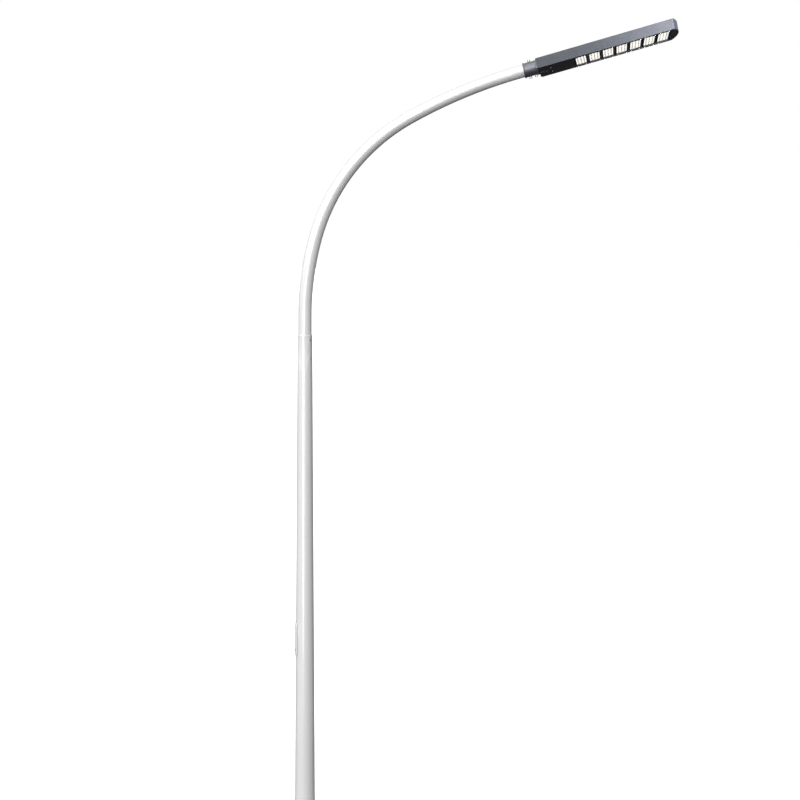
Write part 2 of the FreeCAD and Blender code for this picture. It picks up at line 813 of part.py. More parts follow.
def hinge_leaves():
    """Fixed and moving leaves of both hinges, with their pins."""
    axis_x, axis_y = hinge_place()
    fixed, moving, pins = [], [], []
    for name, sign in (("low", "-"), ("high", "+")):
        centre = "(door_centre %s hinge_spread / 2)" % sign
        half = "hinge_knuckle / 2"
        top = "%s + %s + hinge_play + hinge_knuckle" % (centre, half)
        low = "%s - %s - hinge_play - hinge_knuckle" % (centre, half)
        # Fixed leaf: a strap on the shaft beyond the hinge, with a knuckle at each end.
        strap = pole_shell("fixed_shell_" + name, "weld_gap", "weld_gap + hinge_strap", low, top)
        side = box("fixed_side_" + name, ("%s - hinge_lap" % axis_x, axis_y + " - 3 * hinge_radius", low),
                   ("%s + hinge_leaf_reach" % axis_x, "pole_base_diameter", top))
        leaf = boolean("Common", "fixed_leaf_" + name, strap, side)
        barrel = cylinder("fixed_barrel_" + name, "hinge_radius", "(%s) - (%s)" % (top, low),
                          "%s; %s; %s" % (axis_x, axis_y, low))
        gap = cylinder("fixed_gap_" + name, "hinge_radius + hinge_lap", "hinge_knuckle + 2 * hinge_play",
                       "%s; %s; %s - %s - hinge_play" % (axis_x, axis_y, centre, half))
        bore = cylinder("fixed_bore_" + name, "hinge_pin / 2 + fit_clearance", "(%s) - (%s)" % (top, low),
                        "%s; %s; %s" % (axis_x, axis_y, low))
        whole = boolean("Fuse", "fixed_whole_" + name, leaf, barrel)
        fixed.append(boolean("Cut", "fixed_" + name, whole,
                             boolean("Fuse", "fixed_tools_" + name, gap, bore)))
        # Moving leaf: a strap on the cover, with the knuckle between the fixed ones.
        strap = pole_shell("moving_shell_" + name, DOOR_OUTER, DOOR_OUTER + " + hinge_leaf",
                           "%s - %s" % (centre, half), "%s + %s" % (centre, half))
        side = box("moving_side_" + name,
                   ("%s - hinge_leaf_reach" % axis_x, "0", "%s - %s" % (centre, half)),
                   ("%s - hinge_pin / 2" % axis_x, "pole_base_diameter", "%s + %s" % (centre, half)))
        leaf = boolean("Common", "moving_leaf_" + name, strap, side)
        barrel = cylinder("moving_barrel_" + name, "hinge_radius", "hinge_knuckle",
                          "%s; %s; %s - %s" % (axis_x, axis_y, centre, half))
        bore = cylinder("moving_bore_" + name, "hinge_pin / 2 + fit_clearance", "hinge_knuckle",
                        "%s; %s; %s - %s" % (axis_x, axis_y, centre, half))
        whole = boolean("Fuse", "moving_whole_" + name, leaf, barrel)
        moving.append(boolean("Cut", "moving_" + name, whole, bore))
        shank = cylinder("pin_shank_" + name, "hinge_pin / 2", "(%s) - (%s)" % (top, low),
                         "%s; %s; %s" % (axis_x, axis_y, low))
        head = cylinder("pin_head_" + name, "hinge_head", "hinge_head_height",
                        "%s; %s; %s" % (axis_x, axis_y, top))
        pins.append(boolean("Fuse", "pin_" + name, shank, head))
    keep(group("hinge_leaf_fixed", *fixed), "hinge_leaf_fixed")
    keep(group("hinge_leaf_moving", *moving), "hinge_leaf_moving")
    keep(group("hinge_pins", *pins), "hinge_pins")


LOCK_LEVEL = "door_centre - lock_drop"
LOCK_PROUD = "(door_gasket + door_thickness + lock_flange)"


def lock_place(depth):
    """A place on the lock's axis, a depth inside the shaft's outer face."""
    return "-(%s) + %s; 0; %s" % (pole_radius(LOCK_LEVEL), depth, LOCK_LEVEL)


def lock_bar(name, radius, depth, length):
    """A round bar on the lock's axis, from a depth outwards."""
    return cylinder(name, radius, length, lock_place(depth), "0; 1; 0", "-90")


def lock_barrel():
    """Lock barrel through the cover, with a flange on its outer face."""
    barrel = lock_bar("barrel_body", "lock_radius", "lock_depth", "lock_depth + %s" % LOCK_PROUD)
    flange = lock_bar("barrel_flange", "lock_radius + lock_flange_width",
                      "-(door_gasket + door_thickness + weld_gap)", "lock_flange")
    bore = lock_bar("barrel_bore", "lock_spindle / 2 + fit_clearance", "2 * lock_depth", "3 * lock_depth")
    keep(boolean("Cut", "lock_barrel", boolean("Fuse", "barrel_whole", barrel, flange), bore),
         "lock_barrel")


def lock_spindle():
    """Spindle of the lock, with a triangular key recess in its outer end."""
    shank = lock_bar("spindle_shank", "lock_spindle / 2", "lock_depth + cam_thickness + lock_tail",
                     "lock_depth + cam_thickness + lock_tail + %s" % LOCK_PROUD)
    recess = new_body("spindle_recess", kept=False)
    key = Outline(recess, "YZ_Plane", "-%s - %s + key_depth" % (pole_radius(LOCK_LEVEL), LOCK_PROUD))
    corners = []
    for angle in (90, 210, 330):
        corners.append(("key_reach * cos(%d)" % angle,
                        "%s + key_reach * sin(%d)" % (LOCK_LEVEL, angle)))
    key.polygon(tuple(corners))
    pad(recess, key, "2 * key_depth", back=True)
    keep(boolean("Cut", "lock_spindle", shank, recess), "lock_spindle")


def lock_cam():
    """Cam on the spindle's inner end; turned level, it lies behind the door frame."""
    face = "-(%s) + lock_depth + weld_gap" % pole_radius(LOCK_LEVEL)
    plate = box("cam_plate", (face, "-cam_width / 2", LOCK_LEVEL + " - cam_width / 2"),
                (face + " + cam_thickness", "cam_width / 2", LOCK_LEVEL + " + cam_length - cam_width / 2"))
    hole = lock_bar("cam_hole", "lock_spindle / 2", "2 * lock_depth", "3 * lock_depth")
    keep(boolean("Cut", "lock_cam", plate, hole), "lock_cam")


# ---- gear behind the door ----------------------------------------------------------------------

GEAR_CENTRE = "door_centre"
RAIL_CENTRE = "door_centre + rail_rise"


def bolt_levels():
    """Heights of the two bolts that hold the gear board."""
    reach = "(board_height / 2 - board_bolt_inset)"
    return ["%s %s %s" % (GEAR_CENTRE, sign, reach) for sign in "-+"]


def gear_board():
    """Insulating board on two bosses that stand on the shaft's far wall."""
    body = new_body("gear_board")
    face = Outline(body, "YZ_Plane", "board_offset")
    face.rectangle(("-board_width / 2", "%s - board_height / 2" % GEAR_CENTRE),
                   ("board_width / 2", "%s + board_height / 2" % GEAR_CENTRE))
    pad(body, face, "board_thickness")
    for level in bolt_levels():
        boss = Outline(body, "YZ_Plane", "board_offset + board_thickness")
        boss.circle(("0", level), "board_boss")
        pad(body, boss, "%s - pole_wall - 2 * weld_gap - board_offset - board_thickness"
            % pole_radius(GEAR_CENTRE + " + board_height / 2"))
        hole = Outline(body, "YZ_Plane", "board_offset")
        hole.circle(("0", level), "board_bolt + 2 * fit_clearance")
        cut(body, hole, "board_bolt_hole", back=True)


def gear_board_bolts():
    """Two bolts through the board into its bosses."""
    master = new_body("bolt_master", kept=False)
    shank = Outline(master, "XY_Plane")
    shank.circle(("0", "0"), "board_bolt")
    pad(master, shank, "board_bolt_grip")
    head = Outline(master, "XY_Plane")
    head.hexagon(("0", "0"), "board_bolt * 5 / 3")
    pad(master, head, "board_bolt * 2 / 3", back=True)
    inward = Rotation(Vector(0, 1, 0), 90)
    copies("gear_board_bolts", master,
           [Placement(Vector(value("board_offset"), 0, value(level)), inward) for level in bolt_levels()])


def din_rail():
    """Top-hat rail across the board."""
    body = new_body("din_rail")
    back = "board_offset"
    profile = Outline(body, "XZ_Plane")
    low, high = "%s - din_height / 2" % RAIL_CENTRE, "%s + din_height / 2" % RAIL_CENTRE
    web_low, web_high = "%s - din_height / 3" % RAIL_CENTRE, "%s + din_height / 3" % RAIL_CENTRE
    front = "%s - din_depth" % back
    profile.polygon(((back, web_low), (back, web_high), (front + " + din_sheet", web_high),
                     (front + " + din_sheet", high), (front, high), (front, web_high + " - din_sheet"),
                     (back + " - din_sheet", web_high + " - din_sheet"),
                     (back + " - din_sheet", web_low + " + din_sheet"),
                     (front, web_low + " + din_sheet"), (front, low), (front + " + din_sheet", low),
                     (front + " + din_sheet", web_low)))
    pad(body, profile, "board_width", both=True)


def breaker():
    """Circuit breaker on the rail, with a slot in its nose for the toggle."""
    body = new_body("breaker_body")
    front = "board_offset - din_depth - weld_gap"
    side = Outline(body, "XZ_Plane", "breaker_side - breaker_width / 2")
    side.polygon(((front, RAIL_CENTRE + " - breaker_height / 2"),
                  (front, RAIL_CENTRE + " + breaker_height / 2"),
                  (front + " - breaker_depth", RAIL_CENTRE + " + breaker_height / 2"),
                  (front + " - breaker_depth", RAIL_CENTRE + " + breaker_nose_height / 2"),
                  (front + " - breaker_depth - breaker_nose", RAIL_CENTRE + " + breaker_nose_height / 2"),
                  (front + " - breaker_depth - breaker_nose", RAIL_CENTRE + " - breaker_nose_height / 2"),
                  (front + " - breaker_depth", RAIL_CENTRE + " - breaker_nose_height / 2"),
                  (front + " - breaker_depth", RAIL_CENTRE + " - breaker_height / 2")))
    pad(body, side, "breaker_width")
    slot = Outline(body, "XZ_Plane", "breaker_side - toggle_width / 2 - 2 * weld_gap")
    slot.circle((front + " - breaker_depth - breaker_nose", RAIL_CENTRE),
                "2 * toggle_radius + 4 * weld_gap")
    cut(body, slot, "toggle_width + 4 * weld_gap", back=True)


def toggle_axis():
    """Formulas for the x and z of the toggle's axis."""
    return "board_offset - din_depth - weld_gap - breaker_depth - breaker_nose", RAIL_CENTRE


def breaker_toggle():
    """Toggle of the breaker, up when it is on."""
    axis_x, axis_z = toggle_axis()
    low_y = "-breaker_side - toggle_width / 2"
    hub = cylinder("toggle_hub", "toggle_radius", "toggle_width",
                   "%s; %s; %s" % (axis_x, low_y, axis_z), "1; 0; 0", "-90")
    lever = doc.addObject("Part::Box", "toggle_lever")
    bind(lever, Length="toggle_reach", Width="toggle_width", Height="toggle_radius",
         Placement="placement(vector(%s + toggle_radius / 2 * sin(toggle_angle); %s; %s + toggle_radius / 2"
                   " * cos(toggle_angle)); rotation(vector(0; 1; 0); 180 + toggle_angle))"
                   % (axis_x, low_y, axis_z))
    keep(boolean("Fuse", "breaker_toggle", hub, lever), "breaker_toggle")


def pole_terminals():
    """Terminal block on the rail beside the breaker."""
    body = new_body("pole_terminals")
    front = "board_offset - din_depth - weld_gap"
    right = "breaker_side - breaker_width / 2 - terminal_gap"
    face = Outline(body, "XZ_Plane", "%s - terminal_width" % right)
    face.polygon(((front, RAIL_CENTRE + " - terminal_height / 2"),
                  (front, RAIL_CENTRE + " + terminal_height / 2"),
                  (front + " - terminal_depth * 2 / 3", RAIL_CENTRE + " + terminal_height / 2"),
                  (front + " - terminal_depth", RAIL_CENTRE + " + terminal_height / 4"),
                  (front + " - terminal_depth", RAIL_CENTRE + " - terminal_height / 4"),
                  (front + " - terminal_depth * 2 / 3", RAIL_CENTRE + " - terminal_height / 2")))
    pad(body, face, "terminal_width")


def earth_stud():
    """Earthing stud welded to the shaft's inner face, with its nuts and washer."""
    level = "door_centre - stud_drop"
    root = "%s - pole_wall - stud_gap" % pole_radius(level)
    keep(cylinder("earth_stud", "stud_diameter / 2", "stud_length",
                  "0; %s; %s" % (root, level), "1; 0; 0", "90"), "earth_stud")
    nuts = []
    for number, inset in enumerate(("nut_inset", "nut_inset + nut_pitch")):
        nut = new_body("nut_%d" % number, kept=False)
        face = Outline(nut, "XZ_Plane", "stud_length - (%s)" % inset)
        face.hexagon(("0", "0"), "stud_nut")
        face.circle(("0", "0"), "stud_diameter + stud_play")
        pad(nut, face, "stud_nut_height")
        bind(nut, Placement__Base__y=root, Placement__Base__z=level)
        nuts.append(nut)
    washer = new_body("washer", kept=False)
    face = Outline(washer, "XZ_Plane", "stud_length - nut_inset - washer_thickness - washer_gap")
    face.circle(("0", "0"), "washer_diameter")
    face.circle(("0", "0"), "stud_diameter + washer_play")
    pad(washer, face, "washer_thickness")
    bind(washer, Placement__Base__y=root, Placement__Base__z=level)
    keep(group("earth_nuts", *nuts, washer), "earth_nuts")


# ---- slip fitter -------------------------------------------------------------------------------

COLLAR_TOP_SCREW = ("top_screw",)
COLLAR_LOW_SCREWS = ("near_screw", "far_screw")


def spigot_collar():
    """Slip fitter that holds the luminaire on the arm's spigot."""
    body = new_body("spigot_collar")
    outer = "collar_diameter / 2"
    profile = Outline(body, "XZ_Plane")
    profile.polygon((("0", "socket_radius"), ("0", outer + " + collar_rim"),
                     ("collar_rim_length", outer + " + collar_rim"),
                     ("collar_rim_length + collar_rim", outer),
                     ("collar_length - collar_flange_length - collar_flange", outer),
                     ("collar_length - collar_flange_length", outer + " + collar_flange"),
                     ("collar_length", outer + " + collar_flange"), ("collar_length", "socket_radius")))
    turn(body, profile, "H_Axis")
    for places, back in ((COLLAR_TOP_SCREW, False), (COLLAR_LOW_SCREWS, True)):
        boss = Outline(body, "XY_Plane", "%s(socket_radius + boss_root)" % ("-" if back else ""))
        for place in places:
            boss.circle((place, "0"), "collar_boss")
        pad(body, boss, outer + " + collar_boss_rise - socket_radius - boss_root", back=back)
        hole = Outline(body, "XY_Plane")
        for place in places:
            hole.circle((place, "0"), "collar_screw + 2 * fit_clearance")
        cut(body, hole, "collar_diameter", back=not back)
    on_arm(body)


def collar_screws():
    """Set screws of the slip fitter, one above and two below."""
    master = new_body("collar_screw_master", kept=False)
    shank = Outline(master, "XY_Plane")
    shank.circle(("0", "0"), "collar_screw")
    length = "collar_diameter / 2 + collar_boss_rise - arm_tip_diameter / 2 + collar_screw_stand"
    pad(master, shank, length)
    head = Outline(master, "XY_Plane", length)
    head.hexagon(("0", "0"), "collar_screw * 13 / 8")
    pad(master, head, "collar_screw / 2")
    rise = value("arm_tip_diameter / 2 + weld_gap / 2")
    places = []
    for spots, turned in ((COLLAR_TOP_SCREW, 0), (COLLAR_LOW_SCREWS, 180)):
        for place in spots:
            upright = Placement(Vector(value(place), 0, 0), Rotation(Vector(1, 0, 0), turned))
            places.append(arm_frame().multiply(upright).multiply(
                Placement(Vector(0, 0, rise), Rotation())))
    copies("collar_screws", master, places)


# ---- luminaire body ----------------------------------------------------------------------------

def lid_hinges():
    """Formulas for the middle of each lid hinge across the luminaire."""
    return ["-lid_hinge_spread / 2", "lid_hinge_spread / 2"]


def fixed_knuckles():
    """Formulas for both ends, across the luminaire, of each knuckle on the housing."""
    ends = []
    for middle in lid_hinges():
        near, far = "lid_knuckle / 2 + assembly_gap", "lid_knuckle / 2 + assembly_gap + lid_lug"
        ends.append(("%s - (%s)" % (middle, far), "%s - (%s)" % (middle, near)))
        ends.append(("%s + %s" % (middle, near), "%s + %s" % (middle, far)))
    return ends


def lid_screw_places():
    """Formulas for the lid screws' places across and along the luminaire."""
    along = "collar_length + lid_start + lid_screw_inset"
    return [(along, side + "lid_screw_spread / 2") for side in ("-", "")]


def driver_housing():
    """Casting that holds the arm's end and, behind a lid below, the driver."""
    body = new_body("driver_housing")
    block = Outline(body, "XY_Plane", "-body_drop")
    block.rectangle(("rails_start - casting_lap", "-housing_half"), ("housing_end", "housing_half"))
    pad(body, block, "body_drop + body_rise")
    top = Outline(body, "XY_Plane", "bay_ceiling")
    top.rectangle(("rails_start - casting_lap", "rail_lip + assembly_gap - body_width / 2"),
                  ("housing_end", "body_width / 2 - rail_lip - assembly_gap"))
    pad(body, top, "housing_wall")
    end = Outline(body, "YZ_Plane", "collar_length")
    end.rounded(("-body_width / 2", "-body_drop"), ("body_width / 2", "body_rise"), "end_corner")
    plate = pad(body, end, "end_plate")
    front, rim = value("collar_length"), value("body_width / 2 - end_corner - 1")
    soften(body, plate, "end_edge",
           lambda edge: flat_at((edge.XMin, edge.XMax), front)
           and (max(abs(edge.YMin), abs(edge.YMax)) > rim))
    socket = Outline(body, "XZ_Plane")
    outer = "socket_radius + socket_wall"
    deep = "collar_length + socket_depth"
    socket.polygon((("collar_length", "0"), ("collar_length", outer), (deep, outer),
                    (deep + " + 2 * socket_wall", "body_drop"),
                    (deep + " + 5 * socket_wall", "body_rise"), (deep + " + 5 * socket_wall", "0")))
    turn(body, socket, "H_Axis")
    rows = int(value("rib_rows"))
    beside = value("(socket_radius + socket_wall) / rib_pitch")
    ribs = Outline(body, "XY_Plane", "body_rise - casting_lap")
    for row in range(-rows, rows + 1):
        start = "rails_start + rib_start"
        if abs(row) < beside:
            start = "rails_start + socket_depth + rib_socket_gap"
        middle = "%d * rib_pitch" % row
        ribs.rectangle((start, middle + " - rib_thickness / 2"),
                       ("housing_end - rib_end", middle + " + rib_thickness / 2"))
    pad(body, ribs, "rib_height + casting_lap")
    bore = Outline(body, "YZ_Plane", "collar_length")
    bore.circle(("0", "0"), "2 * socket_radius")
    cut(body, bore, "spigot_length - collar_length + tool_run", back=True)
    entry = Outline(body, "YZ_Plane", "collar_length")
    entry.circle(("0", "0"), "2 * gland_neck")
    cut(body, entry, "bay_start + tool_run", back=True)
    recess = Outline(body, "XY_Plane", "-body_drop")
    recess.rectangle(("collar_length + lid_start - lid_gap", "-housing_half + lid_margin - lid_gap"),
                     ("lid_axis_x + lid_gap", "housing_half - lid_margin + lid_gap"))
    cut(body, recess, "lid_thickness + lid_gasket", back=True)
    bay = Outline(body, "XY_Plane", "-body_drop")
    bay.rectangle(("collar_length + bay_start", "-housing_half + bay_margin"),
                  ("housing_end - bay_end", "housing_half - bay_margin"))
    cut(body, bay, "body_drop + bay_ceiling", back=True)
    hinges = Outline(body, "XY_Plane", "-body_drop")
    reach = "(lid_knuckle / 2 + lid_lug + 2 * lid_gap)"
    for middle in lid_hinges():
        hinges.rectangle(("housing_end - lid_end - hinge_pocket", "%s - %s" % (middle, reach)),
                         ("lid_axis_x + lid_barrel + lid_gap", "%s + %s" % (middle, reach)))
    cut(body, hinges, "lid_thickness + lid_barrel / 2 + casting_lap", back=True)
    screws = Outline(body, "XY_Plane", "-body_drop")
    for place in lid_screw_places():
        screws.circle(place, "lid_screw + 2 * lid_screw_play")
    cut(body, screws, "lid_thickness + lid_gasket + lid_screw_hole", back=True)
    lugs = Outline(body, "YZ_Plane", "lid_axis_x - lid_barrel")
    for low, high in fixed_knuckles():
        lugs.rectangle((low, "lid_axis_z"), (high, "lid_axis_z + lid_thickness + lug_rise"))
    pad(body, lugs, "2 * lid_barrel")
    for low, high in fixed_knuckles():
        barrel = Outline(body, "XZ_Plane", "-(%s)" % high)
        barrel.circle(("lid_axis_x", "lid_axis_z"), "2 * lid_barrel")
        pad(body, barrel, "lid_lug")
        bore = Outline(body, "XZ_Plane", "-(%s)" % high)
        bore.circle(("lid_axis_x", "lid_axis_z"), "lid_pin + 2 * fit_clearance")
        cut(body, bore, "lid_lug", back=True)
    bosses = Outline(body, "XY_Plane", "body_rise - casting_lap")
    threads = Outline(body, "XY_Plane", "bay_ceiling")
    for place in driver_screw_places():
        bosses.circle(place, "2.5 * screw_diameter")
        threads.circle(place, "screw_diameter + 2 * fit_clearance")
    pad(body, bosses, "screw_length - housing_wall")
    cut(body, threads, "screw_length - housing_wall / 2", back=True)
    ends = Outline(body, "YZ_Plane", "collar_length")
    for side in ("-", ""):
        for place in port_places(side):
            ends.circle(place, "screw_diameter + 2 * fit_clearance")
    cut(body, ends, "end_plate", back=True)
    on_arm(body)


def side_rail(label, side):
    """Extruded side of the luminaire, with a ledge for the modules and ports for end screws."""
    body = new_body(label)
    profile = Outline(body, "YZ_Plane", "rails_start + assembly_gap")
    wall = "%s(body_width / 2)" % side
    inner = "%s(body_width / 2 - rail_wall)" % side
    port = "%s(body_width / 2 - rail_wall - rail_port)" % side
    ledge = "%s(body_width / 2 - rail_ledge)" % side
    lip = "%s(body_width / 2 - rail_lip)" % side
    points = ((wall, "-body_drop"), (ledge, "-body_drop"), (ledge, "ledge_level"),
              (port, "ledge_level"), (port, "ledge_level + rail_port"),
              (inner, "ledge_level + rail_port"), (inner, "body_rise - rail_sheet - rail_port"),
              (port, "body_rise - rail_sheet - rail_port"), (port, "body_rise - rail_sheet"),
              (lip, "body_rise - rail_sheet"), (lip, "body_rise"), (wall, "body_rise"))
    profile.polygon(points if side else tuple(reversed(points)))
    blank = pad(body, profile, "nose_start - rails_start - 2 * assembly_gap")
    out, length = value("body_width / 2"), value("nose_start - rails_start") / 2
    for radius, level in (("rail_top_edge", value("body_rise")), ("rail_low_edge", -value("body_drop"))):
        blank = soften(body, blank, radius,
                       lambda edge: edge.XLength > length and flat_at((edge.ZMin, edge.ZMax), level)
                       and (flat_at((edge.YMin, edge.YMax), out) or flat_at((edge.YMin, edge.YMax), -out)))
    for plane, back in (("rails_start + assembly_gap", True), ("nose_start - assembly_gap", False)):
        ports = Outline(body, "YZ_Plane", plane)
        for place in port_places(side):
            ports.circle(place, "screw_diameter + 2 * fit_clearance")
        cut(body, ports, "3 * screw_length", back=back)
    holes = Outline(body, "XY_Plane", "-body_drop")
    for along, across in module_screw_places(side):
        holes.circle((along, across), "screw_diameter + 2 * fit_clearance")
    cut(body, holes, "rail_sheet", back=True)
    on_arm(body)


def port_places(side):
    """Formulas for the two end screws of a rail."""
    across = "%s(body_width / 2 - rail_wall - rail_port / 2)" % side
    return [(across, "ledge_level + rail_port / 2"), (across, "body_rise - rail_sheet - rail_port / 2")]


def module_screw_places(side):
    """Formulas for the screws that hold the modules on one rail."""
    across = "%s(body_width / 2 - rail_ledge + module_seat / 2)" % side
    places = []
    for number in range(int(value("module_count"))):
        start = "modules_start + %d * module_pitch" % number
        places.append((start + " + fin_margin / 2", across))
        places.append((start + " + module_length - fin_margin / 2", across))
    return places


def nose_cap():
    """Rounded cap over the far ends of the rails."""
    body = new_body("nose_cap")
    face = Outline(body, "XY_Plane", "-body_drop")
    shoulder = "nose_start + nose_length - nose_sweep"
    half = "body_width / 2"
    bow = "((%s)^2 + nose_sweep^2) / 2 / nose_sweep" % half
    corners = (("nose_start", half), ("nose_start", "-" + half), (shoulder, "-" + half), (shoulder, half))
    edges = [face.line(start, stop) for start, stop in ((corners[3], corners[0]), (corners[0], corners[1]),
                                                       (corners[1], corners[2]))]
    face.join(edges[0], 2, edges[1], 1)
    face.join(edges[1], 2, edges[2], 1)
    face.pin(edges[0], 1, corners[3])
    face.pin(edges[1], 1, corners[0])
    face.pin(edges[2], 1, corners[1])
    face.pin(edges[2], 2, corners[2])
    front = face.arc(("nose_start + nose_length - %s" % bow, "0"), corners[2], corners[3], bow)
    face.join(front, 1, edges[2], 2)
    face.join(front, 2, edges[0], 1)
    blank = pad(body, face, "body_drop + body_rise")
    tall, back = value("body_drop + body_rise"), value("nose_start")
    blank = soften(body, blank, "nose_round",
                   lambda edge: abs(edge.ZLength - tall) < 0.01 and edge.XMin > back + 1)
    soften(body, blank, "nose_edge", lambda edge: edge.ZLength < 0.01 and edge.XMax > back + 1)
    hollow = Outline(body, "YZ_Plane", "nose_start")
    hollow.rectangle(("-(body_width / 2 - 3 * rail_wall - rail_port)", "-body_drop + rail_sheet"),
                     ("body_width / 2 - 3 * rail_wall - rail_port", "body_rise - rail_sheet"))
    cut(body, hollow, "nose_length - nose_sweep", back=True)
    holes = Outline(body, "YZ_Plane", "nose_start")
    wells = Outline(body, "YZ_Plane", "nose_start + screw_head_height * 2")
    for side in ("-", ""):
        for place in port_places(side):
            holes.circle(place, "screw_diameter + 2 * fit_clearance")
            wells.circle(place, "screw_head + 2 * assembly_gap")
    cut(body, holes, "nose_length", back=True)
    cut(body, wells, "nose_length", back=True)
    on_arm(body)


# ---- light modules -----------------------------------------------------------------------------

def module_start(number):
    """Formula for where a module begins along the luminaire."""
    return "modules_start + %d * module_pitch" % number


def heat_sink(number):
    """Casting of one module: a base with a shallow window below and fins above."""
    body = new_body("heat_sink_%d" % (number + 1))
    half = "(body_width / 2 - rail_ledge + module_seat)"
    base = Outline(body, "XY_Plane")
    base.rectangle(("0", "-" + half), ("module_length", half))
    pad(body, base, "module_base")
    fins = Outline(body, "XY_Plane", "module_base")
    first = "module_length / 2 - (fin_count - 1) / 2 * fin_pitch"
    for fin in range(int(value("fin_count"))):
        middle = "%s + %d * fin_pitch" % (first, fin)
        fins.rectangle((middle + " - fin_thickness / 2", "-%s + fin_margin" % half),
                       (middle + " + fin_thickness / 2", half + " - fin_margin"))
    pad(body, fins, "bay_ceiling - ledge_level - module_base")
    window = Outline(body, "XY_Plane")
    window.rectangle(("(module_length - window_length) / 2", "-window_width / 2"),
                     ("(module_length + window_length) / 2", "window_width / 2"))
    frame = cut(body, window, "window_depth", back=True)
    soften(body, frame, "module_edge", lambda edge: flat_at((edge.ZMin, edge.ZMax), 0))
    holes = Outline(body, "XY_Plane")
    for side in ("-", ""):
        across = "%s(body_width / 2 - rail_ledge + module_seat / 2)" % side
        for along in ("fin_margin / 2", "module_length - fin_margin / 2"):
            holes.circle((along, across), "screw_diameter + 2 * fit_clearance")
    cut(body, holes, "module_base - module_skin", back=True)
    on_arm(body, x=module_start(number), z="ledge_level")


def module_plate(label, number, bottom, thickness, inset):
    """A flat plate inside a module's window: its LED board or its lens."""
    body = new_body("%s_%d" % (label, number + 1))
    face = Outline(body, "XY_Plane")
    face.rectangle(("(module_length - window_length) / 2 + %s" % inset,
                    "-window_width / 2 + %s" % inset),
                   ("(module_length + window_length) / 2 - %s" % inset,
                    "window_width / 2 - %s" % inset))
    pad(body, face, thickness)
    on_arm(body, x=module_start(number), z="ledge_level + %s" % bottom)


# ---- driver compartment ------------------------------------------------------------------------

def driver_lid():
    """Hinged lid under the driver, notched round the housing's hinge knuckles."""
    body = new_body("driver_lid")
    face = Outline(body, "XY_Plane", "-body_drop")
    face.rectangle(("collar_length + lid_start", "-housing_half + lid_margin"),
                   ("housing_end - lid_end", "housing_half - lid_margin"))
    for place in lid_screw_places():
        face.circle(place, "lid_screw + 2 * fit_clearance")
    plate = pad(body, face, "lid_thickness")
    low, long_side = -value("body_drop"), value("lid_screw") * 4
    soften(body, plate, "lid_edge",
           lambda edge: flat_at((edge.ZMin, edge.ZMax), low) and edge.DiagonalLength > long_side)
    notches = Outline(body, "XY_Plane", "-body_drop")
    for low, high in fixed_knuckles():
        notches.rectangle(("lid_axis_x - lid_barrel - lid_gap", low + " - assembly_gap"),
                          ("lid_axis_x", high + " + assembly_gap"))
    cut(body, notches, "lid_thickness", back=True)
    for middle in lid_hinges():
        edge = "-(%s + lid_knuckle / 2)" % middle
        barrel = Outline(body, "XZ_Plane", edge)
        barrel.circle(("lid_axis_x", "lid_axis_z"), "2 * lid_barrel")
        pad(body, barrel, "lid_knuckle")
        bore = Outline(body, "XZ_Plane", edge)
        bore.circle(("lid_axis_x", "lid_axis_z"), "lid_pin + 2 * fit_clearance")
        cut(body, bore, "lid_knuckle", back=True)
    on_arm(body)


def lid_gasket():
    """Seal between the lid and the housing."""
    body = new_body("lid_gasket")
    face = Outline(body, "XY_Plane", "lid_thickness - body_drop")
    face.rectangle(("collar_length + bay_start - gasket_width", "-housing_half + bay_margin - gasket_width"),
                   ("housing_end - bay_end + gasket_width", "housing_half - bay_margin + gasket_width"))
    face.rectangle(("collar_length + bay_start", "-housing_half + bay_margin"),
                   ("housing_end - bay_end", "housing_half - bay_margin"))
    pad(body, face, "lid_gasket - assembly_gap")
    on_arm(body)


def lid_screws():
    """Captive screws in the lid's free edge."""
    master = new_body("lid_screw_master", kept=False)
    shank = Outline(master, "XY_Plane")
    shank.circle(("0", "0"), "lid_screw")
    pad(master, shank, "lid_thickness + lid_gasket + lid_screw_grip")
    head = Outline(master, "XY_Plane")
    head.circle(("0", "0"), "2 * lid_screw")
    pad(master, head, "lid_screw / 2", back=True)
    slot = Outline(master, "XY_Plane", "-lid_screw / 2")
    slot.hexagon(("0", "0"), "lid_screw * socket_share")
    cut(master, slot, "lid_screw / 4", back=True)
    places = [arm_frame().multiply(Placement(
        Vector(value(along), value(across), value("-body_drop")), Rotation()))
        for along, across in lid_screw_places()]
    copies("lid_screws", master, places)


def lid_hinge_pins():
    """Two pins on which the lid swings."""
    pins = []
    length = "lid_knuckle + 2 * lid_lug + 2 * assembly_gap"
    for number, middle in enumerate(lid_hinges()):
        pin = cylinder("lid_pin_%d" % number, "lid_pin / 2", length)
        turned = "placement(vector(tip_x + lid_axis_x * cos(tilt) - lid_axis_z * sin(tilt); %s + (%s) / 2;" \
                 " tip_z + lid_axis_x * sin(tilt) + lid_axis_z * cos(tilt)); rotation(vector(1; 0; 0); 90))"
        pin.setExpression("Placement", scoped(turned % (middle, length)))
        pins.append(pin)
    keep(group("lid_hinge_pins", *pins), "lid_hinge_pins")


def bay_block(label, low, high, edge):
    """A closed box with rounded upright edges, hung from the ceiling of the driver's bay."""
    body = new_body(label)
    face = Outline(body, "XY_Plane", low[2])
    face.rounded((low[0], low[1]), (high[0], high[1]), edge)
    pad(body, face, "(%s) - (%s)" % (high[2], low[2]))
    on_arm(body)
    return body


BAY_TOP = "bay_ceiling - assembly_gap"


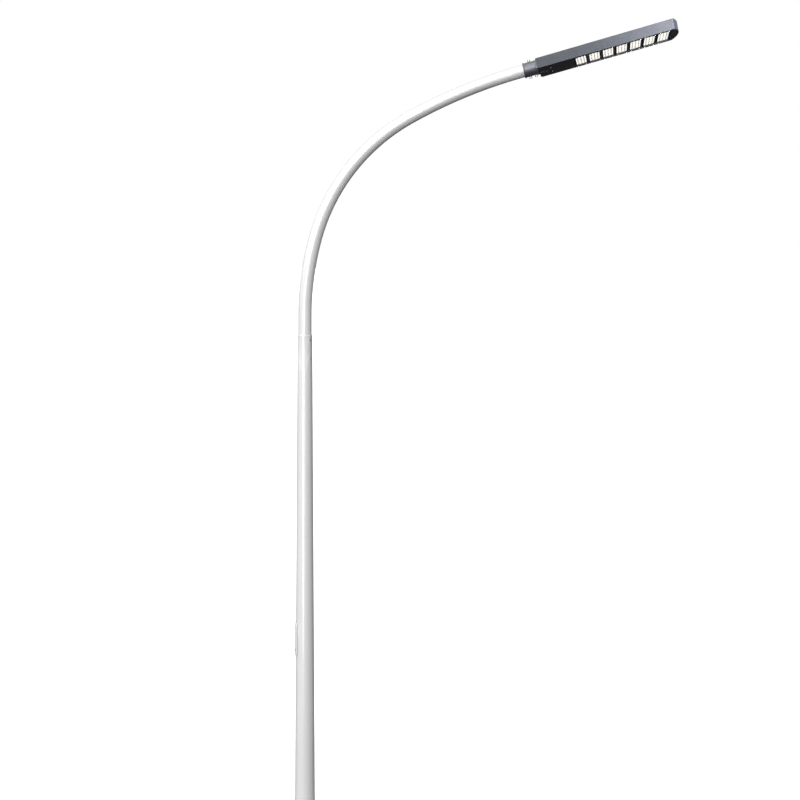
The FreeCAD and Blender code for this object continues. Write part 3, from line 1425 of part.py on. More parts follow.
def led_driver():
    """LED driver with a fixing tab at each end."""
    start = "housing_end - bay_end - driver_end_gap - driver_width"
    low_y = "-housing_half + bay_margin + driver_side_gap"
    body = bay_block("led_driver", (start, low_y + " + driver_tab", BAY_TOP + " - driver_height"),
                     (start + " + driver_width", low_y + " + driver_length - driver_tab", BAY_TOP),
                     "driver_corner")
    tabs = Outline(body, "XY_Plane", BAY_TOP)
    tabs.rectangle((start + " + driver_width / 4", low_y),
                   (start + " + driver_width * 3 / 4", low_y + " + driver_length"))
    for along, across in driver_screw_places():
        tabs.circle((along, across), "screw_diameter + 2 * fit_clearance")
    pad(body, tabs, "driver_sheet", back=True)


def driver_screw_places():
    """Formulas for the screws in the driver's tabs."""
    along = "housing_end - bay_end - driver_end_gap - driver_width / 2"
    low_y = "-housing_half + bay_margin + driver_side_gap"
    return [(along, low_y + " + driver_screw_inset"),
            (along, low_y + " + driver_length - driver_screw_inset")]


def gear_in_bay():
    """Surge protector, terminals and cable gland of the luminaire."""
    right = "housing_half - bay_margin - surge_gap"
    end = "housing_end - bay_end - driver_end_gap"
    bay_block("surge_protector", (end + " - surge_length", right + " - surge_width",
                                  BAY_TOP + " - surge_height"), (end, right, BAY_TOP), "surge_corner")
    start = "collar_length + bay_start + 2 * gland_radius / 3 + 2 * weld_gap"
    bay_block("luminaire_terminals", (start, "-block_width / 2", "-block_height / 2 + block_rise"),
              (start + " + block_length", "block_width / 2", BAY_TOP), "block_corner")
    body = new_body("cable_gland")
    profile = Outline(body, "XZ_Plane")
    inner = "cable_diameter / 2 + fit_clearance"
    neck = "gland_neck - fit_clearance"
    wall = "collar_length + bay_start"
    foot = "spigot_length + gland_tail"
    profile.polygon(((foot, inner), (foot, neck), (wall + " + weld_gap", neck),
                     (wall + " + weld_gap", "gland_radius"), (wall + " + gland_radius / 3", "gland_radius"),
                     (wall + " + 2 * gland_radius / 3", "gland_neck"),
                     (wall + " + 2 * gland_radius / 3", inner)))
    turn(body, profile, "H_Axis")
    on_arm(body)


def luminaire_screws():
    """Screws of the modules, the rails' ends and the driver."""
    master = new_body("screw_master", kept=False)
    shank = Outline(master, "XY_Plane")
    shank.circle(("0", "0"), "screw_diameter")
    pad(master, shank, "screw_length")
    head = Outline(master, "XY_Plane")
    head.circle(("0", "0"), "screw_head")
    pad(master, head, "screw_head_height", back=True)
    recess = Outline(master, "XY_Plane", "-screw_head_height")
    recess.hexagon(("0", "0"), "screw_diameter * socket_share")
    cut(master, recess, "screw_head_height / 2", back=True)
    up, inward = Rotation(), Rotation(Vector(0, 1, 0), 90)
    outward = Rotation(Vector(0, 1, 0), -90)
    spots = []
    for side in ("-", ""):
        for along, across in module_screw_places(side):
            spots.append(((along, across, "-body_drop"), up))
        for across, rise in port_places(side):
            spots.append((("collar_length", across, rise), inward))
            spots.append((("nose_start + 2 * screw_head_height", across, rise), outward))
    for along, across in driver_screw_places():
        spots.append(((along, across, BAY_TOP + " - driver_sheet"), up))
    places = [arm_frame().multiply(Placement(Vector(*(value(part) for part in point)), turned))
              for point, turned in spots]
    copies("luminaire_screws", master, places)


fill_sheet()
base_plate()
base_gussets()
pole_shaft()
door_frame()
arm_seat_ring()
arm_tube()
arm_grub_screws()
riser_cable()
door_panel()
door_gasket()
hinge_leaves()
lock_barrel()
lock_spindle()
lock_cam()
gear_board()
gear_board_bolts()
din_rail()
breaker()
breaker_toggle()
pole_terminals()
earth_stud()
spigot_collar()
collar_screws()
driver_housing()
side_rail("side_rail_front", "-")
side_rail("side_rail_rear", "")
nose_cap()
for module in range(int(value("module_count"))):
    heat_sink(module)
    module_plate("led_board", module, "window_depth - led_board", "led_board", "led_board_inset")
    module_plate("lens", module, "lens_inset", "lens_thickness", "lens_inset")
driver_lid()
lid_gasket()
lid_screws()
lid_hinge_pins()
led_driver()
gear_in_bay()
luminaire_screws()
doc.recompute()

for thing in doc.Objects:
    assert not {"Invalid", "Error"} & set(thing.State), "%s is %s" % (thing.Label, thing.State)
os.makedirs("parts", exist_ok=True)
for piece in PARTS:
    assert not piece.Shape.isNull() and piece.Shape.isValid(), "%s has no valid shape" % piece.Label
    piece.Shape.exportStep("parts/%s.step" % piece.Label)
    extent = piece.Shape.BoundBox
    print("%-22s %2d solids %9.0f mm3  x %7.1f %7.1f  y %7.1f %7.1f  z %7.1f %7.1f" % (
        piece.Label, len(piece.Shape.Solids), piece.Shape.Volume, extent.XMin, extent.XMax,
        extent.YMin, extent.YMax, extent.ZMin, extent.ZMax))
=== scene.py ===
import json
import math

import bmesh
import bpy
from mathutils import Matrix, Vector

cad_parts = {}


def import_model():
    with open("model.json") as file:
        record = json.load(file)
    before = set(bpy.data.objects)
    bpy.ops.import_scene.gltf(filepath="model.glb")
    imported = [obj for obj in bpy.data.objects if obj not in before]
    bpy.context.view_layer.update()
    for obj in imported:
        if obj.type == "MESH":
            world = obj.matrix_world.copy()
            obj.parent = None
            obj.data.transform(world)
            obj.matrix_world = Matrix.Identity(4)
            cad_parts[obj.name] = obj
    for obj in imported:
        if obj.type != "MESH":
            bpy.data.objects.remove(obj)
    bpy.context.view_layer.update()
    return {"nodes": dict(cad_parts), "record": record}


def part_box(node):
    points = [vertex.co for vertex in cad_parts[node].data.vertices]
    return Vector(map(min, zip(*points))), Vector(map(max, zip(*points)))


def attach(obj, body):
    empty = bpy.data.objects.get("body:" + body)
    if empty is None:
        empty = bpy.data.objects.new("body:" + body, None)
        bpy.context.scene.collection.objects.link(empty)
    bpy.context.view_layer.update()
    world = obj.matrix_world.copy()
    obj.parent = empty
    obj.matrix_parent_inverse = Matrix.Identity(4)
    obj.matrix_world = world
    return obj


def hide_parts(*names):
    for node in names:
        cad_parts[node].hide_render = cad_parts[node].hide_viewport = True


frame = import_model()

# The street lamp post's looks: finishes for the CAD pieces, and meshes of their own for the weld
# beads of the base and for the diodes and optics of the light modules. Metres, in the CAD frame.

MM = 0.001
NODES = frame["nodes"]


# ---- places that follow from the CAD -------------------------------------------------------------

def middle(node):
    """The middle of a CAD node's box at rest."""
    low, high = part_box(node)
    return (low + high) / 2


MODULES = range(1, 8)
ALONG = (middle("led_board_7") - middle("led_board_1")).normalized()
ACROSS = Vector((0, 1, 0))
UP = ALONG.cross(ACROSS)


def board_frame(number):
    """Matrix of a module's LED board: x along the luminaire, y across it, z square to its face."""
    axes = Matrix((ALONG, ACROSS, UP)).transposed().to_4x4()
    return Matrix.Translation(middle("led_board_%d" % number)) @ axes


# ---- shader nodes --------------------------------------------------------------------------------

def add_node(tree, kind, **settings):
    """A new node in a tree, with its settings."""
    node = tree.nodes.new(kind)
    for setting, choice in settings.items():
        setattr(node, setting, choice)
    return node


def map_range(tree, factor, start, end, low, high):
    """A number that goes from low to high as the factor goes from start to end, and stays there."""
    node = add_node(tree, "ShaderNodeMapRange")
    node.inputs["From Min"].default_value = start
    node.inputs["From Max"].default_value = end
    node.inputs["To Min"].default_value = low
    node.inputs["To Max"].default_value = high
    tree.links.new(factor, node.inputs["Value"])
    return node.outputs["Result"]


def colour_socket(sockets, name):
    """The colour socket of that name; a mix node has others of the same name."""
    return next(socket for socket in sockets if socket.name == name and socket.type == "RGBA")


class Finish:
    """A Principled material whose colour, roughness and relief come from procedural nodes."""

    def __init__(self, name, **sockets):
        self.material = bpy.data.materials.new(name)
        self.material.use_nodes = True
        self.tree = self.material.node_tree
        self.shader = self.tree.nodes["Principled BSDF"]
        for socket, setting in sockets.items():
            self.shader.inputs[socket.replace("_", " ")].default_value = setting
        self.place = self.add("ShaderNodeTexCoord").outputs["Object"]

    def add(self, kind, **settings):
        return add_node(self.tree, kind, **settings)

    def link(self, source, target):
        self.tree.links.new(source, target)

    def noise(self, scale, detail=3.0, stretch=(1, 1, 1)):
        """Cloudy variation between 0 and 1; scale is in features per metre."""
        mapping = self.add("ShaderNodeMapping")
        mapping.inputs["Scale"].default_value = stretch
        self.link(self.place, mapping.inputs["Vector"])
        texture = self.add("ShaderNodeTexNoise")
        texture.inputs["Scale"].default_value = scale
        texture.inputs["Detail"].default_value = detail
        self.link(mapping.outputs["Vector"], texture.inputs["Vector"])
        return texture.outputs["Fac"]

    def cells(self, scale):
        """Distance from the middle of random cells."""
        texture = self.add("ShaderNodeTexVoronoi")
        texture.inputs["Scale"].default_value = scale
        self.link(self.place, texture.inputs["Vector"])
        return texture.outputs["Distance"]

    def blend(self, factor, first, second):
        """A colour between two colours, of which the first may come from a node."""
        node = self.add("ShaderNodeMix", data_type="RGBA")
        if isinstance(first, bpy.types.NodeSocket):
            self.link(first, colour_socket(node.inputs, "A"))
        else:
            colour_socket(node.inputs, "A").default_value = (*first, 1)
        colour_socket(node.inputs, "B").default_value = (*second, 1)
        self.link(factor, node.inputs["Factor"])
        return colour_socket(node.outputs, "Result")

    def between(self, factor, dark, light, start=0.3, end=0.7):
        """A colour from dark to light as the factor goes from start to end."""
        return self.blend(map_range(self.tree, factor, start, end, 0, 1), dark, light)

    def tint(self, factor, dark, light, start=0.3, end=0.7):
        """The surface's colour, from dark to light as the factor goes from start to end."""
        self.link(self.between(factor, dark, light, start, end), self.shader.inputs["Base Color"])

    def roughen(self, factor, smooth, rough, start=0.3, end=0.7):
        """The surface's roughness, from smooth to rough as the factor goes from start to end."""
        roughness = map_range(self.tree, factor, start, end, smooth, rough)
        self.link(roughness, self.shader.inputs["Roughness"])

    def relief(self, height, depth, strength):
        """Fine surface relief, of a depth in metres."""
        bump = self.add("ShaderNodeBump")
        bump.inputs["Strength"].default_value = strength
        bump.inputs["Distance"].default_value = depth
        self.link(height, bump.inputs["Height"])
        self.link(bump.outputs["Normal"], self.shader.inputs["Normal"])


# ---- materials -----------------------------------------------------------------------------------
# Where nodes drive the roughness, the Roughness given is what a plain copy of the material shows.

# Half the length over which an LED board carries diodes and a painted glow, and the soft edge of
# that glow; then the glow's colour, and the rim past it painted dark as shade.
GLOW_HALF = 112 * MM
GLOW_EDGE = 2 * MM
BOARD_GLOW = (1.0, 0.995, 0.98)
BOARD_RIM_SHADE = (0.05, 0.05, 0.055)


def white_gloss():
    """Glossy white paint on steel: a faint orange peel and slightly uneven gloss."""
    finish = Finish("white_gloss_paint", Roughness=0.28,
                    Coat_Weight=1.0, Coat_Roughness=0.3, Coat_IOR=2.3)
    finish.tint(finish.noise(3, 1), (0.86, 0.86, 0.86), (0.90, 0.90, 0.90), 0.1, 0.9)
    finish.roughen(finish.noise(30, 1), 0.27, 0.29, 0.1, 0.9)
    finish.relief(finish.noise(160, 2), 0.1 * MM, 0.12)
    return finish.material


def grained(name, dark, light, roughness, gloss, clouds, grain, pores, depth, strength,
            metallic=0.0):
    """A coat or a moulded plastic. Its colour, gloss and relief vary with clouds, grain and pores
    to the metre; gloss is its lowest and highest roughness."""
    finish = Finish(name, Roughness=roughness, Metallic=metallic)
    finish.tint(finish.noise(clouds), dark, light)
    finish.roughen(finish.noise(grain), *gloss)
    finish.relief(finish.noise(pores, 2), depth, strength)
    return finish.material


def blue_grey():
    """Blue-grey powder coat: a fine even grain."""
    return grained("blue_grey_powder_coat", (0.067, 0.074, 0.093), (0.079, 0.087, 0.108),
                   roughness=0.42, gloss=(0.36, 0.48), clouds=25, grain=900, pores=1600,
                   depth=0.08 * MM, strength=0.3)


def dark_coat(name, dark, light):
    """Dark powder coat on aluminium, a little coarser."""
    return grained(name, dark, light, roughness=0.5, gloss=(0.44, 0.6), clouds=40, grain=700,
                   pores=1400, depth=0.1 * MM, strength=0.35)


def collar_coat():
    """Satin metallic grey on the slip fitter."""
    return grained("metallic_grey_coat", (0.210, 0.218, 0.242), (0.240, 0.248, 0.272),
                   roughness=0.34, gloss=(0.29, 0.39), clouds=60, grain=900, pores=1600,
                   depth=0.06 * MM, strength=0.3, metallic=0.7)


def plastic(name, dark, light, roughness, grain=1200):
    """Moulded plastic with a spark-eroded grain."""
    return grained(name, dark, light, roughness, gloss=(roughness - 0.07, roughness + 0.09),
                   clouds=90, grain=grain, pores=grain, depth=0.06 * MM, strength=0.35)


def stainless():
    """Turned and brushed stainless steel."""
    finish = Finish("stainless_steel", Roughness=0.3, Metallic=1.0)
    lines = finish.noise(900, 3, (1, 1, 6))
    finish.tint(lines, (0.57, 0.57, 0.58), (0.64, 0.64, 0.65), 0.1, 0.9)
    finish.roughen(lines, 0.26, 0.36, 0.1, 0.9)
    finish.relief(lines, 0.01 * MM, 0.2)
    return finish.material


def zinc():
    """Zinc plating with its spangle."""
    finish = Finish("zinc_plating", Roughness=0.4, Metallic=1.0)
    spangle = finish.cells(180)
    finish.tint(spangle, (0.46, 0.47, 0.49), (0.66, 0.67, 0.70), 0.1, 0.8)
    finish.roughen(spangle, 0.32, 0.5, 0.1, 0.8)
    return finish.material


def brass():
    """Plain machined brass, a little dulled."""
    finish = Finish("brass", Roughness=0.35, Metallic=1.0)
    cloud = finish.noise(220, 4)
    finish.tint(cloud, (0.62, 0.44, 0.18), (0.78, 0.58, 0.28))
    finish.roughen(cloud, 0.28, 0.45)
    return finish.material


def rubber():
    """Black rubber with a dusty bloom."""
    finish = Finish("black_rubber", Roughness=0.75)
    cloud = finish.noise(300, 4)
    finish.tint(cloud, (0.014, 0.014, 0.015), (0.032, 0.032, 0.033))
    finish.roughen(cloud, 0.65, 0.85)
    finish.relief(finish.noise(1500, 2), 0.1 * MM, 0.3)
    return finish.material


def led_board():
    """White solder mask with a painted glow over the diodes, and a rim past the last one painted
    dark as shade.
    """
    finish = Finish("led_board_white", Roughness=0.35, Emission_Strength=1.0)
    parts = finish.add("ShaderNodeSeparateXYZ")
    across = finish.add("ShaderNodeMath", operation="ABSOLUTE")
    finish.link(finish.place, parts.inputs["Vector"])
    finish.link(parts.outputs["Y"], across.inputs[0])
    # Past the diodes the board has no glow and is painted dark as shade.
    shaded_rim = map_range(finish.tree, across.outputs["Value"], GLOW_HALF, GLOW_HALF + GLOW_EDGE, 0, 1)
    # The painted glow, emitted over the diodes only.
    light = finish.blend(shaded_rim, BOARD_GLOW, (0, 0, 0))
    finish.link(light, finish.shader.inputs["Emission Color"])
    mask = finish.between(finish.noise(120), (0.86, 0.86, 0.85), (0.92, 0.92, 0.91))
    # The rim's dark base colour is painted shade.
    finish.link(finish.blend(shaded_rim, mask, BOARD_RIM_SHADE), finish.shader.inputs["Base Color"])
    finish.relief(finish.noise(900, 2), 0.04 * MM, 0.3)
    return finish.material


def phosphor():
    """Cream silicone over the diodes, with a painted glow."""
    # Its emission is a painted glow that stands in for light on it.
    finish = Finish("diode_phosphor", Roughness=0.3,
                    Emission_Strength=0.3, Emission_Color=(0.80, 0.62, 0.24, 1))
    finish.tint(finish.noise(800), (0.50, 0.38, 0.15), (0.58, 0.46, 0.21))
    finish.relief(finish.noise(2500, 2), 0.03 * MM, 0.3)
    return finish.material


def clear_lens():
    """Clear moulded optics with a faint painted glow."""
    # Its emission is a painted glow that stands in for light on the optics.
    finish = Finish("clear_optics", Roughness=0.08, Alpha=0.05, IOR=1.49,
                    Emission_Strength=0.15, Emission_Color=(1.0, 0.99, 0.96, 1))
    finish.tint(finish.noise(60), (0.90, 0.92, 0.93), (0.96, 0.97, 0.98))
    finish.roughen(finish.noise(300), 0.05, 0.12)
    return finish.material


FINISHES = {
    "post_paint": white_gloss(),
    "luminaire_paint": blue_grey(),
    "dark_casting": dark_coat("dark_powder_coat", (0.036, 0.035, 0.042), (0.046, 0.045, 0.053)),
    "stainless_steel": stainless(),
    "zinc_plate": zinc(),
    "brass": brass(),
    "black_rubber": rubber(),
    "led_board": led_board(),
    "clear_lens": clear_lens(),
    "gear_board": plastic("gear_board_laminate", (0.42, 0.31, 0.20), (0.52, 0.40, 0.27), 0.55, 700),
    "grey_plastic": plastic("light_grey_plastic", (0.55, 0.56, 0.57), (0.62, 0.63, 0.64), 0.45),
    "black_plastic": plastic("black_plastic", (0.012, 0.012, 0.013), (0.022, 0.022, 0.024), 0.4),
    "driver_case": plastic("white_driver_case", (0.66, 0.66, 0.64), (0.74, 0.74, 0.72), 0.4),
    "surge_case": plastic("dark_surge_case", (0.03, 0.035, 0.045), (0.045, 0.05, 0.06), 0.45),
    "terminal_plastic": plastic("ivory_terminal_plastic",
                                (0.68, 0.67, 0.60), (0.76, 0.75, 0.68), 0.45),
}
PHOSPHOR = phosphor()
# The housing and lid get a lighter copy of the dark coat, lighter even than the blue-grey paint:
# partly their own colour, partly painted fill light on their shaded underside.
CASING = dark_coat("dark_casing_coat", (0.115, 0.114, 0.134), (0.133, 0.132, 0.155))
# Nodes that look different from the others of their slot.
OWN_FINISHES = {"driver_housing": CASING, "driver_lid": CASING, "spigot_collar": collar_coat()}

for entry in frame["record"]["subparts"]:
    node_name = entry["node"]
    materials = NODES[node_name].data.materials
    materials.clear()
    materials.append(OWN_FINISHES.get(node_name, FINISHES[entry["material_slot"]]))


# ---- meshes --------------------------------------------------------------------------------------

SHARP_ANGLE = math.radians(35)


def piece(name, bm, slot, finish=None, axes=None):
    """Turn a bmesh into a finished piece that rides on the root."""
    if axes is not None:
        bmesh.ops.transform(bm, matrix=axes, verts=bm.verts)
    bmesh.ops.recalc_face_normals(bm, faces=bm.faces)
    mesh = bpy.data.meshes.new(name)
    bm.to_mesh(mesh)
    bm.free()
    mesh.polygons.foreach_set("use_smooth", [True] * len(mesh.polygons))
    mesh.set_sharp_from_angle(angle=SHARP_ANGLE)
    mesh.materials.append(finish or FINISHES[slot])
    thing = bpy.data.objects.new(name, mesh)
    bpy.context.scene.collection.objects.link(thing)
    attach(thing, "root")
    return thing


def extent(node, axes):
    """Lowest and highest corners of a CAD node in the frame of a matrix."""
    back = axes.inverted()
    places = [back @ vertex.co for vertex in NODES[node].data.vertices]
    return (Vector([min(place[axis] for place in places) for axis in range(3)]),
            Vector([max(place[axis] for place in places) for axis in range(3)]))


def bridge(bm, rings, closed=True):
    """Join neighbouring rings of vertices with quads."""
    count = len(rings[0])
    for ring, following in zip(rings, rings[1:]):
        for number in range(count if closed else count - 1):
            after = (number + 1) % count
            bm.faces.new((ring[number], ring[after], following[after], following[number]))


def slab(bm, centre, size, chamfer):
    """A block that hangs from its back face, with its front edges chamfered. Front is -z."""
    rings = []
    for inset, depth in ((0, 0), (0, size.z - chamfer), (chamfer, size.z)):
        half_x, half_y = size.x / 2 - inset, size.y / 2 - inset
        rings.append([bm.verts.new(centre + Vector((right * half_x, far * half_y, -depth)))
                      for right, far in ((-1, -1), (1, -1), (1, 1), (-1, 1))])
    bridge(bm, rings)
    bm.faces.new(rings[0])
    bm.faces.new(rings[-1])


def dome(bm, centre, radius, height, sides, steps):
    """A low round cap that hangs from its back face, bulging towards -z."""
    rings = []
    for step in range(steps):
        rise = math.pi / 2 * step / steps
        reach, depth = radius * math.cos(rise), height * math.sin(rise)
        headings = [2 * math.pi * side / sides for side in range(sides)]
        rings.append([bm.verts.new(centre + Vector((reach * math.cos(heading),
                                                    reach * math.sin(heading), -depth)))
                      for heading in headings])
    bridge(bm, rings)
    bm.faces.new(rings[0])
    tip = bm.verts.new(centre + Vector((0, 0, -height)))
    for number, corner in enumerate(rings[-1]):
        bm.faces.new((corner, rings[-1][(number + 1) % sides], tip))


# ---- light modules -------------------------------------------------------------------------------

DIODE_ROWS = 3
DIODES_IN_ROW = 26
ROW_PITCH = 14.5 * MM
DIODE_PITCH = 8.5 * MM
PACKAGE = Vector((7.7, 7.7, 0.3)) * MM
PACKAGE_CHAMFER = 0.12 * MM
PHOSPHOR_RADIUS = 3.6 * MM
PHOSPHOR_RISE = 0.22 * MM
PHOSPHOR_SIDES = 16
PHOSPHOR_STEPS = 3

# An optic is an oval dome with a dimple along its middle; the dimple is in shares of the dome.
OPTIC_HALF = (5.7 * MM, 3.9 * MM)
OPTIC_RISE = 2.0 * MM
DIMPLE_DEPTH = 0.22
DIMPLE_HALF = 0.35

# Cells of the lens's mesh to each diode, along and across, and between the optics and the rim.
OPTIC_CELLS = (12, 7)
RIM_CELLS = 2

LAST_ROW = (DIODE_ROWS - 1) / 2
LAST_DIODE = (DIODES_IN_ROW - 1) / 2


def diode_places():
    """Where the diodes sit on a board, from its middle."""
    return [((row - LAST_ROW) * ROW_PITCH, (number - LAST_DIODE) * DIODE_PITCH)
            for row in range(DIODE_ROWS) for number in range(DIODES_IN_ROW)]


def diodes(number):
    """The packages and phosphor caps of one module's board."""
    axes = board_frame(number)
    face = extent("led_board_%d" % number, axes)[0].z
    packages, caps = bmesh.new(), bmesh.new()
    for along, across in diode_places():
        slab(packages, Vector((along, across, face)), PACKAGE, PACKAGE_CHAMFER)
        dome(caps, Vector((along, across, face - PACKAGE.z)),
             PHOSPHOR_RADIUS, PHOSPHOR_RISE, PHOSPHOR_SIDES, PHOSPHOR_STEPS)
    piece("diode_packages_%d" % number, packages, "led_board", axes=axes)
    piece("diode_phosphor_%d" % number, caps, "led_board", PHOSPHOR, axes)


def optic_rise(along, across):
    """How far the moulded optics stand out of their plate, at a place on it."""
    row = round(along / ROW_PITCH)
    # A row has an even number of diodes, so they sit half a pitch beside the middle.
    column = round(across / DIODE_PITCH - 0.5) + 0.5
    if abs(row) > LAST_ROW or abs(column) > LAST_DIODE:
        return 0.0
    beside = (along - row * ROW_PITCH) / OPTIC_HALF[0]
    away = (across - column * DIODE_PITCH) / OPTIC_HALF[1]
    dome_share = math.sqrt(max(0.0, 1 - beside ** 2 - away ** 2))
    return OPTIC_RISE * dome_share * (1 - DIMPLE_DEPTH * math.exp(-(beside / DIMPLE_HALF) ** 2))


def optics(number):
    """One module's lens: a clear plate with a moulded optic over each diode."""
    axes = board_frame(number)
    low, high = extent("lens_%d" % number, axes)
    lines = []
    for axis, diode_count, pitch in ((0, DIODE_ROWS, ROW_PITCH), (1, DIODES_IN_ROW, DIODE_PITCH)):
        cells = diode_count * OPTIC_CELLS[axis] + 2 * RIM_CELLS
        step = pitch / OPTIC_CELLS[axis]
        inner = [(count - cells / 2) * step for count in range(1, cells)]
        lines.append([low[axis]] + inner + [high[axis]])
    bm = bmesh.new()
    rows = [[bm.verts.new((along, across, low.z - optic_rise(along, across)))
             for across in lines[1]] for along in lines[0]]
    bridge(bm, rows, closed=False)
    rim = (rows[0] + [row[-1] for row in rows[1:]] + rows[-1][-2::-1]
           + [row[0] for row in rows[-2:0:-1]])
    back = [bm.verts.new((corner.co.x, corner.co.y, high.z)) for corner in rim]
    bridge(bm, [rim, back])
    bm.faces.new(back)
    lens = piece("optics_%d" % number, bm, "clear_lens", axes=axes)
    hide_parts("lens_%d" % number)


for module_number in MODULES:
    diodes(module_number)
    optics(module_number)


# ---- welds ---------------------------------------------------------------------------------------

PLATE_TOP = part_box("base_plate")[1].z
TAPER_IN_PLATE = 0.1 * MM
SHAFT_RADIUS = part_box("pole_shaft")[1].x - TAPER_IN_PLATE
SHAFT_TAPER = 0.007
GUSSET_HALF = 4 * MM

SHAFT_BEAD = 6 * MM
GUSSET_BEAD = 4.5 * MM
BEAD_CORNERS = 6
BEAD_ROOT = 0.3 * MM  # how far a bead reaches into its corner
RING_GAP = 2 * MM  # between the end of the shaft's bead and a gusset's side
CORNER_GAP = 5 * MM  # a gusset's beads begin this far from its inner corner
TIP_GAP = 2 * MM  # and end this far from its tips

RIPPLE = 3.4 * MM
STATIONS_PER_RIPPLE = 4
FEWEST_STATIONS = 8
VALLEY_SIZE = 0.92  # of the bead's size, between two ripples
RIPPLE_RISE = 0.10
END_SIZE = 0.55  # of the bead's size, at either end
END_GROWTH = 12  # how fast it grows from there with the share of the length


def bead(bm, route, length, size):
    """A weld bead along a route; route(share) gives the corner and both walls' directions."""
    stations = max(FEWEST_STATIONS, round(length / RIPPLE) * STATIONS_PER_RIPPLE)
    rings = []
    for station in range(stations + 1):
        share = station / stations
        corner, first, second = route(share)
        phase = share * length / RIPPLE % 1
        ripple = VALLEY_SIZE + RIPPLE_RISE * math.sin(math.pi * phase)
        swell = size * ripple * min(1, END_SIZE + END_GROWTH * min(share, 1 - share))
        ring = [bm.verts.new(corner - BEAD_ROOT * (first + second))]
        for number in range(BEAD_CORNERS):
            # Halfway between a flat fillet and a quarter round.
            flat = number / (BEAD_CORNERS - 1)
            turned = math.pi / 2 * flat
            reach = (math.cos(turned) + 1 - flat) / 2
            rise = (math.sin(turned) + flat) / 2
            ring.append(bm.verts.new(corner + swell * (reach * first + rise * second)))
        rings.append(ring)
    bridge(bm, rings)
    bm.faces.new(rings[0])
    bm.faces.new(rings[-1])


def straight(start, end, first, second):
    """A straight route for a bead."""
    return lambda share: (start.lerp(end, share), first, second)


def base_welds():
    """Beads between plate and shaft, and along both sides of each gusset."""
    bm = bmesh.new()
    gusset_reach, gusset_top = (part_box("base_gussets")[1][axis] for axis in (0, 2))
    high_radius = SHAFT_RADIUS - SHAFT_TAPER * gusset_top
    half_angle = math.asin((GUSSET_HALF + RING_GAP) / SHAFT_RADIUS)
    sweep = math.pi / 2 - 2 * half_angle
    up = Vector((0, 0, 1))
    for quarter in range(4):
        heading = quarter * math.pi / 2

        def around(share, start=heading + half_angle):
            angle = start + sweep * share
            radial = Vector((math.cos(angle), math.sin(angle), 0))
            return SHAFT_RADIUS * radial + PLATE_TOP * up, radial, up

        bead(bm, around, SHAFT_RADIUS * sweep, SHAFT_BEAD)
        out = Vector((math.cos(heading), math.sin(heading), 0))
        for sign in (-1, 1):
            side = sign * Vector((-out.y, out.x, 0))
            face = side * GUSSET_HALF
            foot = out * SHAFT_RADIUS + face + up * PLATE_TOP
            toe = out * (gusset_reach - TIP_GAP) + face + up * PLATE_TOP
            head = out * high_radius + face + up * (gusset_top - TIP_GAP)
            bead(bm, straight(foot + CORNER_GAP * out, toe, side, up),
                 (toe - foot).length, GUSSET_BEAD)
            bead(bm, straight(foot + CORNER_GAP * up, head, side, out),
                 (head - foot).length, GUSSET_BEAD)
    piece("base_welds", bm, "post_paint")


base_welds()


# ---- studio --------------------------------------------------------------------------------------

# The sky's strength is a product of two ramps, each given as start, end, strength at the start
# and strength at the end: over how far a direction faces the front, and over how far it rises.
SKY_FRONT = (-0.5, -0.866, 0.0)
SKY_TURN = (-0.10, 0.80, 0.50, 1.98)
SKY_RISE = (-0.04, 0.18, 0.035, 1.0)

FLOOR_REACH = 60.0
CAMERA_PLACE = (1.608, -5.105, 3.522)
CAMERA_YAW = math.radians(11.964)
CAMERA_PITCH = math.radians(-10.414)
CAMERA_ROLL = math.radians(1.0)


def world():
    """White behind the object; its light comes from the front and from above the floor."""
    sky = bpy.data.worlds.new("studio")
    bpy.context.scene.world = sky
    sky.use_nodes = True
    tree = sky.node_tree
    tree.nodes.clear()
    link = tree.links.new
    direction = add_node(tree, "ShaderNodeTexCoord").outputs["Generated"]
    facing = add_node(tree, "ShaderNodeVectorMath", operation="DOT_PRODUCT")
    facing.inputs[1].default_value = SKY_FRONT
    link(direction, facing.inputs[0])
    parts = add_node(tree, "ShaderNodeSeparateXYZ")
    link(direction, parts.inputs["Vector"])
    product = add_node(tree, "ShaderNodeMath", operation="MULTIPLY")
    link(map_range(tree, facing.outputs["Value"], *SKY_TURN), product.inputs[0])
    link(map_range(tree, parts.outputs["Z"], *SKY_RISE), product.inputs[1])
    lit, seen = (add_node(tree, "ShaderNodeBackground") for _ in range(2))
    for background in (lit, seen):
        background.inputs["Color"].default_value = (1, 1, 1, 1)
    link(product.outputs["Value"], lit.inputs["Strength"])
    choose = add_node(tree, "ShaderNodeMixShader")
    link(add_node(tree, "ShaderNodeLightPath").outputs["Is Camera Ray"], choose.inputs["Fac"])
    link(lit.outputs["Background"], choose.inputs[1])
    link(seen.outputs["Background"], choose.inputs[2])
    link(choose.outputs["Shader"], add_node(tree, "ShaderNodeOutputWorld").inputs["Surface"])


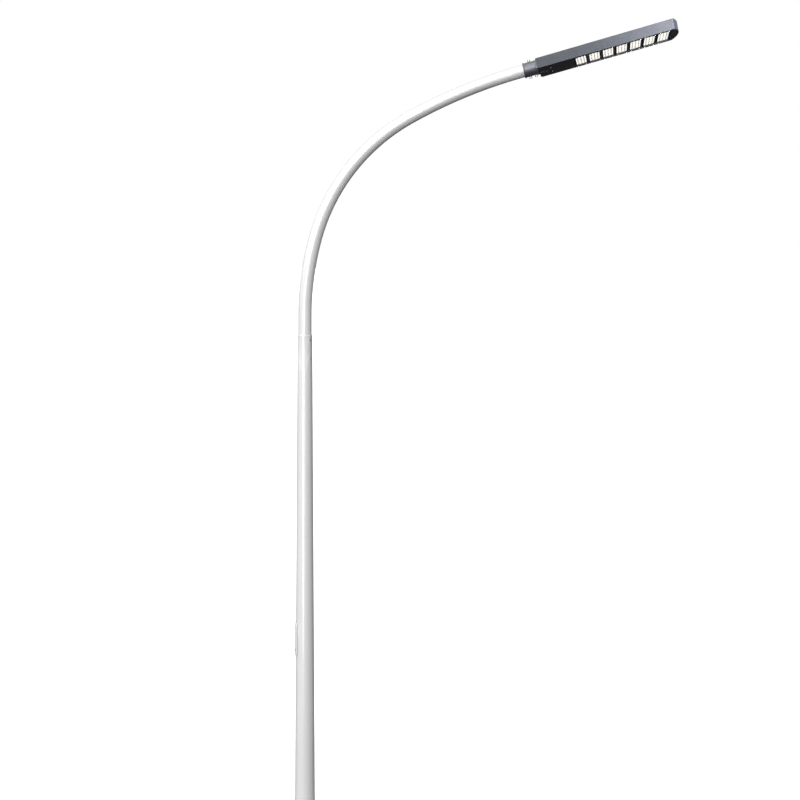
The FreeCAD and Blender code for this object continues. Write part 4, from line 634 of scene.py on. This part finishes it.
def soft_box(name, place, target, width, height, power, spread):
    """A rectangular light at a place, facing a target; power in watts, spread in degrees."""
    lamp = bpy.data.lights.new(name, "AREA")
    lamp.shape = "RECTANGLE"
    lamp.size, lamp.size_y = width, height
    lamp.energy = power
    lamp.spread = math.radians(spread)
    thing = bpy.data.objects.new(name, lamp)
    thing.location = place
    thing.rotation_euler = (Vector(target) - Vector(place)).to_track_quat("-Z", "Y").to_euler()
    thing.visible_camera = False
    bpy.context.scene.collection.objects.link(thing)


def floor():
    """A large pale floor under the post, which only the camera sees."""
    mesh = bpy.data.meshes.new("floor")
    corners = ((-1, -1), (1, -1), (1, 1), (-1, 1))
    mesh.from_pydata([(right * FLOOR_REACH, far * FLOOR_REACH, 0) for right, far in corners],
                     [], [(0, 1, 2, 3)])
    thing = bpy.data.objects.new("floor", mesh)
    bpy.context.scene.collection.objects.link(thing)
    finish = Finish("pale_floor", Roughness=0.8,
                    Emission_Strength=0.72, Emission_Color=(1, 1, 1, 1))
    finish.tint(finish.noise(2), (0.88, 0.88, 0.88), (0.92, 0.92, 0.92))
    mesh.materials.append(finish.material)
    thing.visible_diffuse = False
    thing.visible_glossy = False


def camera():
    """The photograph's point of view."""
    lens = bpy.data.cameras.new("camera")
    lens.lens = 45.0
    lens.sensor_width = 36.0
    lens.clip_end = 200.0
    thing = bpy.data.objects.new("camera", lens)
    level = (Matrix.Rotation(CAMERA_YAW, 4, "Z")
             @ Matrix.Rotation(math.pi / 2 + CAMERA_PITCH, 4, "X"))
    rolled = level @ Matrix.Rotation(CAMERA_ROLL, 4, "Z")
    thing.matrix_world = Matrix.Translation(CAMERA_PLACE) @ rolled
    bpy.context.scene.collection.objects.link(thing)
    bpy.context.scene.camera = thing


world()
floor()
camera()
soft_box("strip", place=(-0.47, -5.98, 2.0), target=(0.0, 0.0, 2.0),
         width=1.2, height=6.8, power=78, spread=120)
soft_box("nose_light", place=(2.15, -0.95, 4.45), target=(1.80, -0.15, 4.38),
         width=0.35, height=0.35, power=1.8, spread=55)
bpy.context.scene.view_settings.view_transform = "Standard"
